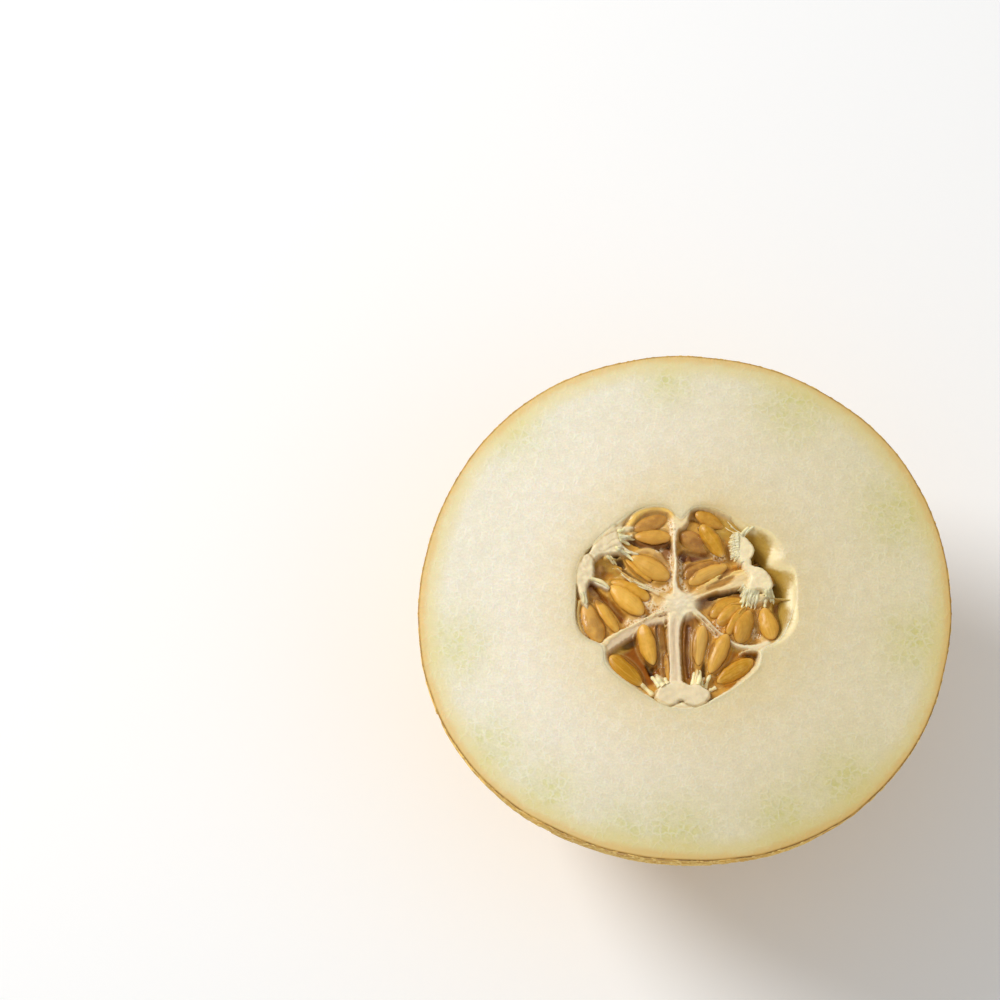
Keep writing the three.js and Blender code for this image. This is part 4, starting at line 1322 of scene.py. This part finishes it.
def makeCore():
    angle = evenAngles(core["turnSteps"])
    outline = coreOutline(angle)
    hollow = hollowOutline(angle)
    ray = rays(angle)
    steps = np.arange(core["topSteps"], 0, -1) / core["topSteps"]
    flat = hollowMiddle + ray[None] * (outline[None] * steps[:, None])[..., None]
    rimAway = outline[None, :] - np.linalg.norm(flat - hollowMiddle, axis=2)
    free = smoothStep(0.2, 1.2, hollow - outline)
    top = coreTop(flat.reshape(-1, 2), rimAway.ravel(), np.tile(free, len(steps)))
    topRings = np.dstack([flat, faceLevel + top.height.reshape(len(steps), -1)])
    # rounded shoulders where the free lobes end in the gap
    topRings[..., 2] -= core["lobeRound"] * (1 - roundShoulder(rimAway, core["lobeRound"])) * free
    rimHeight = faceLevel - topRings[0, :, 2]
    sideRings = []
    for step in range(core["sideSteps"], 0, -1):
        width, sink = hollowWall(math.pi / 2 * (step / (core["sideSteps"] + 1)) ** core["sideEase"])
        full = (hollow - core["sideGap"]) * width
        drop = np.maximum((fruit["hollowDepth"] - core["footGap"]) * sink,
                          rimHeight + core["sideStep"] * (core["sideSteps"] + 1 - step))
        radius = outline + (full - outline) * smoothStep(0.6 * core["gapDepth"], core["gapDepth"], drop)
        sideRings.append(lifted(hollowPoints(angle, np.minimum(radius, full)), faceLevel - drop))
    foot = (*hollowMiddle, faceLevel - fruit["hollowDepth"] + core["footGap"])
    rings = np.concatenate([sideRings, topRings])
    piece, points = makeClosed("core_pulp", [(foot, rings, topRings[-1].mean(0))])
    # values of the foot and the sides, then of the top and its crown
    sides = len(points) - len(top.x) - 1
    tints = np.concatenate([np.tile(linear(*core["side"])[:3], (sides, 1)), top.colour, top.colour[-1:]])
    setValues(piece, "tint", np.column_stack([tints, np.ones(len(tints))]))
    for name, values in (("white", top.white), ("froth", frothShare(top))):
        setValues(piece, name, np.concatenate([np.zeros(sides), values, values[-1:]]))
    piece.data.materials.append(coreMaterial())
    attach(piece, "root")
    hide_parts("seed_core")
    print("core", 2 * len(piece.data.polygons), "triangles at most")
    return piece


coreLook = {
    "grain": (0.9, 2.0, 0.96, 1.04),
    "roughness": (0.2, 0.9, 0.16, 0.34),
    "shader": {"Specular IOR Level": 0.26, "Subsurface Weight": 0.4, "Subsurface Radius": (1.0, 0.7, 0.4),
               "Subsurface Scale": 1.4 * mm},
}


def coreMaterial():
    material, tree, shader = newMaterial("wetPulp", coreLook["shader"])
    place = addPlace(tree)
    white, froth = addValue(tree, "white"), addValue(tree, "froth")
    tint = addNode(tree, "ShaderNodeAttribute", {}, "Color", attribute_name="tint")
    colour, fine = addGrain(tree, place, tint, *coreLook["grain"])
    # small bubbles caught in the pulp
    cells = {"Vector": place, "Scale": 1 / (frothLook["size"] * mm)}
    cells = addNode(tree, "ShaderNodeTexVoronoi", cells, "Distance")
    for name in ("wall", "pit"):
        froths, *reach = frothLook[name]
        share = addMath(tree, "MULTIPLY", froth, addRange(tree, cells, *reach))
        colour = addMix(tree, share, colour, froths)
    tree.links.new(colour, shader.inputs["Base Color"])
    tree.links.new(addRange(tree, white, *coreLook["roughness"]), shader.inputs["Roughness"])
    dome = addMath(tree, "MULTIPLY", froth, addRange(tree, cells, 0.6, 0.0, 0.0, 3.0))
    grain = addMath(tree, "MULTIPLY", fine, addRange(tree, white, 0.2, 0.9, 0.6, 0.1))
    addBump(tree, shader, addMath(tree, "ADD", grain, dome), 0.1, 0.4)
    return material


# Seeds: crown is the round end, tip the pointed one by the placenta; level is the middle's height
# over the cut face, pitch how much deeper the tip lies, roll the turn about the seed's own length.
seedShape = {"steps": 26, "around": 28, "width": 4.5, "thickness": 2.2, "dents": 0.12, "dentSize": 2.2,
             "bend": 0.25, "seed": 7}
seedList = {
    # name: crown, tip, width, level, pitch, roll, jelly over it, how pale and how deep its colour is
    "A": ((-4.4, 23.6), (-13.7, 20.4), 4.3, -1.9, 0.0, 12, 0.6, 0.3, 0.4),
    "B": ((-3.5, 18.2), (-12.9, 18.6), 4.6, -1.6, 0.2, 20, 0.3, 0.2, 0.6),
    "C": ((-4.1, 7.2), (-13.8, 13.1), 5.0, -1.3, 0.2, -10, 0.15, 0.3, 0.45),
    "E": ((-8.7, 6.7), (-15.2, 12.7), 3.4, -2.3, 0.3, 50, 0, 0.1, 0.1),
    "F": ((-11.0, -2.5), (-19.2, 5.2), 5.3, -0.9, 0.4, 8, 0, 0.15, 0.0),
    "G": ((-9.2, 1.9), (-19.1, 6.5), 4.4, -2.0, 0.4, -25, 0, 0.0, 0.5),
    "H": ((-17.4, -7.3), (-23.0, 1.6), 4.0, -1.2, 0.5, 38, 0, 0.15, 0.1),
    "I": ((-21.9, -10.0), (-25.9, 1.0), 5.5, -1.5, 0.5, 10, 0.3, 0.55, 0.05),
    "J": ((-11.2, -5.2), (-8.4, -15.7), 4.4, -0.8, 0.4, 15, 0, 0.1, 0.4),
    "K": ((-19.5, -13.4), (-11.4, -21.0), 4.9, -1.5, 0.2, -12, 0, 0.0, 1.0),
    "L": ((4.4, -5.2), (3.0, -15.7), 3.9, -1.3, 0.2, -20, 0.05, 0.75, 0.15),
    "M": ((10.5, -7.6), (5.9, -17.8), 4.6, -0.8, 0.3, 12, 0.05, 0.25, 0.7),
    "N": ((17.0, -14.2), (7.8, -20.0), 4.4, -1.7, 0.1, -15, 0, 0, 0.9),
    "O": ((6.3, -2.6), (14.4, 1.9), 4.4, -2.0, 0.2, 4, 0.1, 0.05, 0.7),
    "Z": ((8.1, -4.8), (14.9, 1.0), 4.6, -1.6, 0.2, 22, 0, 0.15, 0.6),
    "P": ((10.6, -7.6), (15.4, -0.2), 3.8, -1.25, 0.2, 36, 0, 0.1, 0.4),
    "Q": ((13.4, -9.9), (16.5, -1.1), 4.8, -0.9, 0.3, 15, 0.2, 0.1, 0.8),
    "R": ((22.1, -8.8), (20.0, -0.3), 5.1, -1.4, 0.2, -15, 0, 0.2, 0.6),
    "S": ((2.9, 25.0), (10.2, 21.2), 4.2, -2.0, 0.4, -12, 0.2, 0.1, 0.8),
    "T": ((4.2, 21.3), (9.7, 12.7), 4.2, -0.2, -0.1, 18, 0, 0, 0.8),
    "U": ((-0.4, 22.4), (7.3, 17.4), 4.2, -3.1, 0.2, 5, 0.2, 0.3, 0.4),
    "V": ((-1.3, 19.8), (7.4, 14.9), 5.0, -2.6, 0.2, 5, 0.9, 0.3, 0.6),
    "W": ((0.9, 5.9), (10.8, 10.6), 3.9, -1.2, -0.1, 22, 0.1, 0.5, 0.3),
    "X": ((-0.4, 8.2), (9.0, 11.8), 3.8, -2.5, 0.0, 10, 0.6, 0.3, 0.5),
    "Y": ((-5.2, -12.8), (-4.6, -20.4), 2.6, -1.4, 0.1, 75, 0.3, 0.4, 0.4),
}


def seedHalf(share):
    # half width of a seed from its round crown (0) to its pointed tip (1), at most 1
    return share ** 0.52 * (1 - share) ** 0.62 / 0.454


def seedPoints(length, width, thickness):
    share = ((1 - np.cos(np.linspace(0, math.pi, seedShape["steps"]))) / 2)[1:-1]
    turn = np.radians(evenAngles(seedShape["around"]))
    half = seedHalf(share)
    lens = np.sign(np.sin(turn)) * np.abs(np.sin(turn)) ** 1.2
    points = np.zeros((len(share), len(turn), 3))
    points[..., 0] = ((share - 0.5) * length)[:, None]
    points[..., 1] = (width / 2 * half)[:, None] * np.cos(turn)
    points[..., 2] = (thickness / 2 * np.minimum(half, 1.0) ** 0.75)[:, None] * lens
    return points, share, turn


def seedPlace(crown, tip, level, pitch, roll):
    along = Vector((tip[0] - crown[0], tip[1] - crown[1], -pitch * 2)).normalized()
    side = Vector((0, 0, 1)).cross(along).normalized()
    turn = Matrix((along, side, along.cross(side))).transposed() @ Matrix.Rotation(math.radians(roll), 3, "X")
    return np.array(turn), np.array([(crown[0] + tip[0]) / 2, (crown[1] + tip[1]) / 2, faceLevel + level])


def makeSeeds():
    randomness = random.Random(seedShape["seed"])
    bodies, rows = [], []
    for number, seed in enumerate(seedList.values()):
        crown, tip, width, level, pitch, roll, cover, paleness, depth = seed
        length = math.dist(crown, tip)
        turn, place = seedPlace(crown, tip, level, pitch, roll)
        rings, share, around = seedPoints(length, width, seedShape["thickness"] * width / seedShape["width"])
        bend = randomness.uniform(-seedShape["bend"], seedShape["bend"])
        rings[..., 1] += bend * (1 - (2 * share[:, None] - 1) ** 2)
        dents = noiseAt(rings.reshape(-1, 3) + np.array([*crown, 0.0]), seedShape["dentSize"], 60.0)
        dents = dents.reshape(rings.shape[:2]) * seedShape["dents"]
        rings *= 1 + dents[..., None] * np.array([0.0, 1.0, 1.6])
        ends = np.array([[-length / 2, 0, 0], [length / 2, 0, 0]])
        first, last = ends @ turn.T + place
        bodies.append((first, rings @ turn.T + place, last))
        along = np.concatenate([[0.0], np.repeat(share, len(around)), [1.0]])
        edge = np.concatenate([[1.0], np.tile(np.abs(np.cos(around)), len(share)), [1.0]])
        same = [np.full_like(along, value) for value in (cover, paleness, depth, number)]
        rows.append([*same, edge, along])
    piece = makeClosed("seeds", bodies)[0]
    pointOutwards(piece)
    names = ("jelly", "pale", "tone", "number", "edge", "along")
    for name, values in zip(names, np.concatenate(rows, axis=1)):
        setValues(piece, name, values)
    piece.data.materials.append(seedMaterial())
    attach(piece, "root")
    print("seeds", len(seedList), "of them,", len(piece.data.polygons), "faces")
    return piece


seedLook = {
    "amber": linear(234, 176, 62),
    "deep": linear(190, 134, 16),
    "pale": linear(234, 188, 100),
    "jelly": linear(190, 134, 66),
    "unevenness": (0.3, 0.7, -0.15, 0.2),
    # how much paler the middle of each seed's face is: a painted highlight
    "middle": 0.3,
    # streaks from end to end: how many across, how fine along, and how much each seed's differ
    "streaks": (("X", "edge", 7.0), ("Y", "along", 2.2), ("Z", "number", 3.7)),
    "shader": {"Roughness": 0.34, "Specular IOR Level": 0.26, "Coat Weight": 0.12, "Coat Roughness": 0.18,
               "Subsurface Weight": 0.2, "Subsurface Radius": (1.0, 0.5, 0.2), "Subsurface Scale": 1.2 * mm},
}
# the mask each tint follows, the tint and its range
seedTints = (
    ("streak", linear(242, 190, 84), 0.5, 0.72, 0.0, 0.32),
    ("streak", seedLook["deep"], 0.45, 0.28, 0.0, 0.3),
    ("edge", linear(200, 138, 46), 0.6, 1.0, 0.0, 0.55),
    ("along", seedLook["pale"], 0.16, 0.0, 0.0, 0.45),
    ("along", seedLook["pale"], 0.86, 1.0, 0.0, 0.7),
)


def seedMaterial():
    material, tree, shader = newMaterial("wetSeed", seedLook["shader"])
    fine = addNoise(tree, addPlace(tree), 1.2, 3.0)
    masks = {name: addValue(tree, name) for name in ("tone", "edge", "along", "pale", "jelly", "number")}
    uneven = addMath(tree, "ADD", masks["tone"], addRange(tree, fine, *seedLook["unevenness"]))
    colour = addMix(tree, uneven, seedLook["amber"], seedLook["deep"])
    colour = addMix(tree, masks["pale"], colour, seedLook["pale"])
    # a painted highlight along the middle of each seed's face, weaker on the deeper seeds
    middle = addMath(tree, "MULTIPLY", uneven, seedLook["middle"])
    middle = addMath(tree, "SUBTRACT", seedLook["middle"], middle)
    middle = addMath(tree, "MULTIPLY", addRange(tree, masks["edge"], 0.7, 0.1), middle)
    colour = addMix(tree, middle, colour, seedLook["pale"])
    lengthwise = {axis: addMath(tree, "MULTIPLY", masks[name], factor)
                  for axis, name, factor in seedLook["streaks"]}
    lengthwise = addNode(tree, "ShaderNodeCombineXYZ", lengthwise)
    masks["streak"] = addNode(tree, "ShaderNodeTexNoise", {"Vector": lengthwise, "Scale": 1.0}, "Fac")
    for name, *tint in seedTints:
        colour = layTint(tree, colour, masks[name], *tint)
    cover = addMath(tree, "MULTIPLY", masks["jelly"], addRange(tree, fine, 0.3, 0.6, 0.75, 1.1))
    tree.links.new(addMix(tree, cover, colour, seedLook["jelly"]), shader.inputs["Base Color"])
    addBump(tree, shader, addMath(tree, "ADD", fine, masks["streak"]), 0.2, 0.28)
    return material


# Wet see-through films over some seeds and pockets, the strands of the placentas and single
# bubbles. All of them lie on the core and the seeds: their places are looked up from above.
films = (
    # outline, how high it bulges, how dense it is
    (((-14.0, 19.9), (-13.2, 22.6), (-10.4, 25.0), (-6.6, 25.8), (-3.6, 25.0), (-2.4, 23.0), (-3.4, 20.6),
      (-8.4, 19.8)), 0.25, 0.4),
    (((-9.0, 13.2), (-8.0, 14.6), (-5.0, 13.8), (-3.2, 10.6), (-3.5, 7.4), (-4.6, 8.8), (-6.4, 11.6)), 0.2,
     0.5),
    (((-25.6, 0.4), (-27.2, -3.6), (-25.6, -8.4), (-22.4, -10.8), (-20.4, -8.6), (-21.4, -3.6),
      (-23.6, 0.0)), 0.2, 0.4),
    (((-1.6, 20.6), (2.0, 19.8), (5.6, 17.2), (8.0, 13.8), (4.4, 13.0), (-1.2, 13.2), (-1.6, 17.0)), 0.2,
     0.6),
    (((-1.2, 5.0), (-1.2, 10.6), (3.0, 12.8), (8.6, 12.9), (7.0, 10.6), (3.6, 9.2), (1.4, 5.4)), 0.15, 0.6),
    (((-7.4, -4.4), (-8.2, -9.0), (-7.6, -15.6), (-5.6, -20.6), (-4.4, -16.0), (-4.7, -9.0), (-5.4, -4.4)),
     0.1, 0.5),
    (((0.6, -3.8), (2.6, -4.6), (3.0, -9.4), (2.4, -16.0), (0.8, -19.8), (-0.6, -16.0), (-0.8, -8.0)), 0.1,
     0.5),
    (((6.6, -6.8), (7.8, -9.6), (6.0, -14.4), (4.6, -17.6), (4.8, -13.4), (5.6, -9.0)), 0.1, 0.6),
    (((3.6, 1.6), (7.2, 2.4), (8.2, 0.6), (7.0, -2.6), (5.2, -2.6), (3.4, -0.6)), 0.15, 0.5),
    (((16.4, -1.4), (18.6, -1.4), (19.4, -6.0), (19.4, -9.2), (16.0, -9.2), (16.6, -5.0)), 0.1, 0.5),
    (((-22.6, 11.2), (-19.4, 12.4), (-16.6, 11.6), (-15.6, 9.6), (-18.6, 6.8), (-22.6, 6.8)), 0.1, 0.45),
    (((-25.0, 4.4), (-22.6, 5.0), (-20.4, 2.0), (-21.6, -0.6), (-24.6, 0.8)), 0.1, 0.6),
)
filmShape = {"rings": 30, "around": 80, "middle": 0.04, "lift": 0.1, "least": 0.06, "depth": 0.5,
             "smoothings": 14}
filmLook = {
    "mauve": linear(160, 106, 50),
    "clear": (linear(226, 178, 86), 0.4, 0.62),
    "cover": (0.35, 0.65, 0.65, 0.3),
    "roughness": 0.12,
}
strandShape = {"step": 0.3, "fewest": 7, "sag": 0.9, "seed": 31}
strandTints = {"bright": (255, 238, 182), "pale": (246, 226, 174), "amber": (214, 160, 74),
               "fleshy": (242, 225, 176)}
# from, to, thickness at each end, lift over what lies below, tint
strands = (
    ((14.3, 18.3), (17.1, 21.3), 0.55, 0.5, 0.1, "fleshy"), ((14.9, 18.0), (17.8, 20.9), 0.42, 0.4, 0.1,
     "fleshy"),
    ((-7.0, -21.6), (-9.2, -17.8), 0.8, 0.6, 0.1, "bright"), ((-6.0, -21.4), (-7.4, -18.9), 0.85, 0.6, 0.1,
     "pale"),
    ((-4.8, -21.0), (-5.6, -18.9), 0.75, 0.5, 0.1, "pale"),
    ((1.5, -20.9), (2.0, -17.0), 0.62, 0.42, 0.1, "bright"), ((2.7, -21.0), (3.4, -16.9), 0.62, 0.45, 0.1,
     "bright"),
    ((3.7, -21.2), (4.6, -18.7), 0.5, 0.4, 0.1, "pale"), ((4.6, -21.5), (6.0, -18.4), 0.6, 0.4, 0.1,
     "pale"), ((-24.2, 6.8), (-19.8, 4.5), 0.62, 0.4, 0.1, "pale"),
    ((-17.4, 9.8), (-7.8, 4.0), 0.16, 0.2, 0.15, "pale"), ((-16.4, 8.6), (-8.8, 3.6), 0.14, 0.18, 0.1,
     "pale"),
    ((-11.6, -20.6), (-8.6, -23.4), 0.5, 0.7, 0.1, "pale"), ((7.4, -21.2), (5.6, -22.0), 0.5, 0.5, 0.1,
     "pale"),
    ((14.4, 0.6), (11.6, 0.4), 0.3, 0.15, 0.1, "amber"), ((15.3, -0.2), (13.4, -2.4), 0.25, 0.15, 0.1,
     "amber"),
    ((20.5, 1.8), (20.3, -0.5), 0.5, 0.35, 0.1, "pale"),
    ((12.0, 21.6), (15.0, 18.8), 0.14, 0.12, 0.1, "pale"),
    ((11.2, 22.8), (14.6, 19.4), 0.12, 0.14, 0.1, "pale"), ((10.6, 21.2), (13.6, 18.8), 0.12, 0.1, 0.2,
     "pale"),
)
# brushes of strands: the line they stand on, the way they point at its start and end in degrees,
# how many, shortest and longest, thinnest and thickest, tint
tufts = (
    ((13.7, 18.9), (13.9, 12.6), 150, 208, 26, (1.3, 2.7), (0.22, 0.42), "bright"),
    ((13.0, 18.2), (13.0, 13.6), 172, 205, 7, (0.9, 1.7), (0.3, 0.45), "pale"),
    ((15.0, 5.6), (15.8, 4.2), 212, 240, 8, (1.4, 2.5), (0.26, 0.42), "bright"),
    ((15.6, 4.3), (18.9, 3.8), 246, 262, 19, (2.6, 5.0), (0.3, 0.55), "bright"),
    ((20.4, 4.0), (22.2, 4.2), 276, 302, 8, (1.8, 3.2), (0.3, 0.5), "bright"),
    ((-17.4, 20.0), (-16.8, 16.8), 10, -12, 5, (1.8, 4.2), (0.4, 0.7), "bright"),
    ((-18.0, 15.2), (-17.0, 14.4), -20, -36, 3, (3.0, 5.0), (0.4, 0.6), "bright"),
    ((-20.8, 13.0), (-19.2, 13.2), -36, -42, 2, (2.4, 4.0), (0.3, 0.42), "pale"),
    ((-26.6, 3.0), (-25.6, 3.4), -84, -64, 3, (2.6, 4.2), (0.36, 0.5), "pale"),
)
bubbles = {"perMillimetre": 1.6, "small": 0.14, "large": 0.36, "spread": 0.55, "sunk": 0.3, "seed": 5}


def lookUp(pieces):
    # gives a function that finds the height of the topmost of these pieces at a place
    trees = []
    for piece in pieces:
        corners = [v.co / mm for v in piece.data.vertices]
        trees.append(BVHTree.FromPolygons(corners, [tuple(face.vertices) for face in piece.data.polygons]))

    def surface(x, y):
        heights = [faceLevel - core["gapDepth"]]
        for tree in trees:
            hit = tree.ray_cast(Vector((x, y, faceLevel + 6)), Vector((0, 0, -1)))[0]
            if hit:
                heights.append(hit.z)
        return max(heights)
    return surface


def filmRing(outline):
    # evenly spread points along a smooth closed outline
    ring = smoothPath((*outline, outline[0]), 12)
    pick = np.linspace(0, len(ring) - 1, filmShape["around"], endpoint=False)
    return np.column_stack([np.interp(pick, np.arange(len(ring)), ring[:, k]) for k in (0, 1)])


def makeFilms(surface):
    bodies, dense = [], []
    share = np.linspace(1.0, filmShape["middle"], filmShape["rings"])
    thin = smoothStep(0.0, 0.3, 1 - share)[:, None]
    for outline, bulge, density in films:
        ring = filmRing(outline)
        middle = ring.mean(0)
        flat = middle + (ring - middle)[None] * share[:, None, None]
        ground = np.array([[surface(*place) for place in row] for row in flat])
        # a sheet laid over the ground and pulled taut, its edge sunk into it
        cover = ground + filmShape["lift"]
        for _ in range(filmShape["smoothings"]):
            soft = (np.roll(cover, 1, 1) + np.roll(cover, -1, 1)) / 2
            soft[1:-1] = (soft[1:-1] + (cover[:-2] + cover[2:]) / 2) / 2
            cover = np.maximum(soft, ground + filmShape["least"])
        top = cover * thin + (ground - 0.3) * (1 - thin) + bulge * np.sin(np.pi * (1 - share))[:, None]
        under = np.minimum(top - 0.05, ground - filmShape["depth"])
        rings = np.concatenate([np.dstack([flat, under])[::-1], np.dstack([flat, top])])
        bodies.append(((*middle, under[-1].mean()), rings, (*middle, top[-1].mean() + 0.01)))
        edge = density * smoothStep(1.0, 0.6, np.concatenate([share[::-1], share]))
        dense += [density, *np.repeat(edge, filmShape["around"]), density]
    piece = makeClosed("jelly_films", bodies)[0]
    pointOutwards(piece)
    setValues(piece, "dense", dense)
    piece.data.materials.append(filmMaterial())
    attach(piece, "root")
    print("films", len(films), "with", len(piece.data.polygons), "faces")


def filmMaterial():
    material, tree, shader = newMaterial("wetJelly", {"Roughness": filmLook["roughness"]})
    place = addPlace(tree)
    cloud = addNoise(tree, place, 2.6, 3.0)
    tree.links.new(layTint(tree, filmLook["mauve"], cloud, *filmLook["clear"]), shader.inputs["Base Color"])
    cover = addMath(tree, "MULTIPLY", addValue(tree, "dense"), addRange(tree, cloud, *filmLook["cover"]))
    tree.links.new(cover, shader.inputs["Alpha"])
    addBump(tree, shader, addNoise(tree, place, 1.2, 2.0), 0.2, 0.4)
    return material


def strandTree(material):
    tree, values = makeTree("softStrands", {"Material": material})
    lines = addNode(tree, "GeometryNodeMeshToCurve", {"Mesh": values["Geometry"]})
    width = addNode(tree, "GeometryNodeInputNamedAttribute", {"Name": "thick"}, data_type="FLOAT")
    cords = sweepCords(tree, lines, addMath(tree, "MULTIPLY", width, mm), 8)
    return endTree(tree, cords, values["Material"])


def strandLines(randomness):
    # the single strands and those of the tufts, each with its two ends, thicknesses, lift and tint
    lines = list(strands)
    for start, end, firstWay, lastWay, count, lengths, widths, tint in tufts:
        for number in range(count):
            share = (number + randomness.uniform(0.1, 0.9)) / count
            x, y = (a + (b - a) * share for a, b in zip(start, end))
            way = math.radians(firstWay + (lastWay - firstWay) * share + randomness.uniform(-9, 9))
            length, wide = randomness.uniform(*lengths), randomness.uniform(*widths)
            tip = (x + length * math.cos(way), y + length * math.sin(way))
            narrow = wide * randomness.uniform(0.5, 0.85)
            lines.append(((x, y), tip, wide, narrow, randomness.uniform(-0.1, 0.15), tint))
    return lines


def makeStrands(surface, material):
    randomness = random.Random(strandShape["seed"])
    lines = strandLines(randomness)
    points, edges, thick, tints = [], [], [], []
    for start, end, wide, narrow, lift, tint in lines:
        (ax, ay), (bx, by) = start, end
        stretch = randomness.uniform(-0.12, 0.12)
        bx, by = bx + stretch * (bx - ax), by + stretch * (by - ay)
        length = math.dist((ax, ay), (bx, by))
        count = max(strandShape["fewest"], int(length / strandShape["step"]))
        sway = randomness.uniform(-0.09, 0.09) * length
        shares = [k / count for k in range(count + 1)]
        heights = [surface(ax + (bx - ax) * share, ay + (by - ay) * share) for share in shares]
        # a strand hangs a little between its ends and doesn't follow every pit below it
        sag = strandShape["sag"] * min(1.0, length / 4)
        rise = heights[-1] - heights[0]
        heights = [max(level, heights[0] + rise * share - sag) for share, level in zip(shares, heights)]
        for k, share in enumerate(shares):
            away = sway * math.sin(math.pi * share) / length
            near = heights[max(0, k - 2):k + 3]
            x, y = ax + (bx - ax) * share - (by - ay) * away, ay + (by - ay) * share + (bx - ax) * away
            if k > 0:
                edges.append((len(points) - 1, len(points)))
            points.append((x, y, sum(near) / len(near) + lift * math.sin(math.pi * (0.15 + 0.7 * share))))
            swell = 1 + 0.14 * math.sin(9 * share + 7 * sway)
            blunt = min(1.0, math.sqrt(max(0.02, (1 - share) * 7)))
            thick.append((wide + (narrow - wide) * share) * swell * blunt)
            tints.append(linear(*strandTints[tint]))
    ground = makeObject("strand_lines", points, [], edges)
    for name, values in (("thick", thick), ("white", np.ones(len(points))), ("tint", tints)):
        setValues(ground, name, values)
    piece = growPiece("placenta_strands", ground, strandTree(material), {"Material": material})
    bpy.data.objects.remove(ground)
    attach(piece, "root")
    print("strands", len(lines), "with", len(piece.data.polygons), "faces")


def bubbleTree(material):
    tree, values = makeTree("singleBubbles", {"Material": material})
    ball = addNode(tree, "GeometryNodeMeshIcoSphere", {"Radius": mm, "Subdivisions": 2})
    size = addNode(tree, "GeometryNodeInputNamedAttribute", {"Name": "size"}, data_type="FLOAT")
    balls = {"Points": values["Geometry"], "Instance": ball, "Scale": size}
    return endTree(tree, addNode(tree, "GeometryNodeInstanceOnPoints", balls), values["Material"])


def makeBubbles(surface):
    randomness = random.Random(bubbles["seed"])
    points, sizes = [], []
    for path, half in frothLines:
        line = smoothPath(path)
        length = np.linalg.norm(np.diff(line, axis=0), axis=1).sum()
        for _ in range(int(length * bubbles["perMillimetre"] * (0.6 + half)) + 2):
            x, y = line[randomness.randrange(len(line))]
            x += randomness.gauss(0, bubbles["spread"])
            y += randomness.gauss(0, bubbles["spread"])
            size = bubbles["small"] + (bubbles["large"] - bubbles["small"]) * randomness.random() ** 2.5
            points.append((x, y, surface(x, y) + bubbles["sunk"] * size))
            sizes.append(size)
    ground = makeObject("bubble_places", points, [])
    setValues(ground, "size", sizes)
    material = bubbleMaterial()
    piece = growPiece("froth_bubbles", ground, bubbleTree(material), {"Material": material})
    bpy.data.objects.remove(ground)
    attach(piece, "root")
    print("bubbles", len(points), "with", len(piece.data.polygons), "faces")


def bubbleMaterial():
    settings = {"Base Color": frothLook["wall"][0], "Roughness": 0.05}
    material, tree, shader = newMaterial("clearBubble", settings)
    facing = addNode(tree, "ShaderNodeLayerWeight", {"Blend": 0.35}, "Facing")
    tree.links.new(addRange(tree, facing, 0.1, 0.7, 0.12, 0.75), shader.inputs["Alpha"])
    return material


makeCamera()
makeStudio()
melonBody = makeMelonBody()
makeNetting()
corePulp = makeCore()
seeds = makeSeeds()
surface = lookUp((corePulp, seeds, melonBody))
makeFilms(surface)
makeStrands(surface, corePulp.data.materials[0])
makeBubbles(surface)
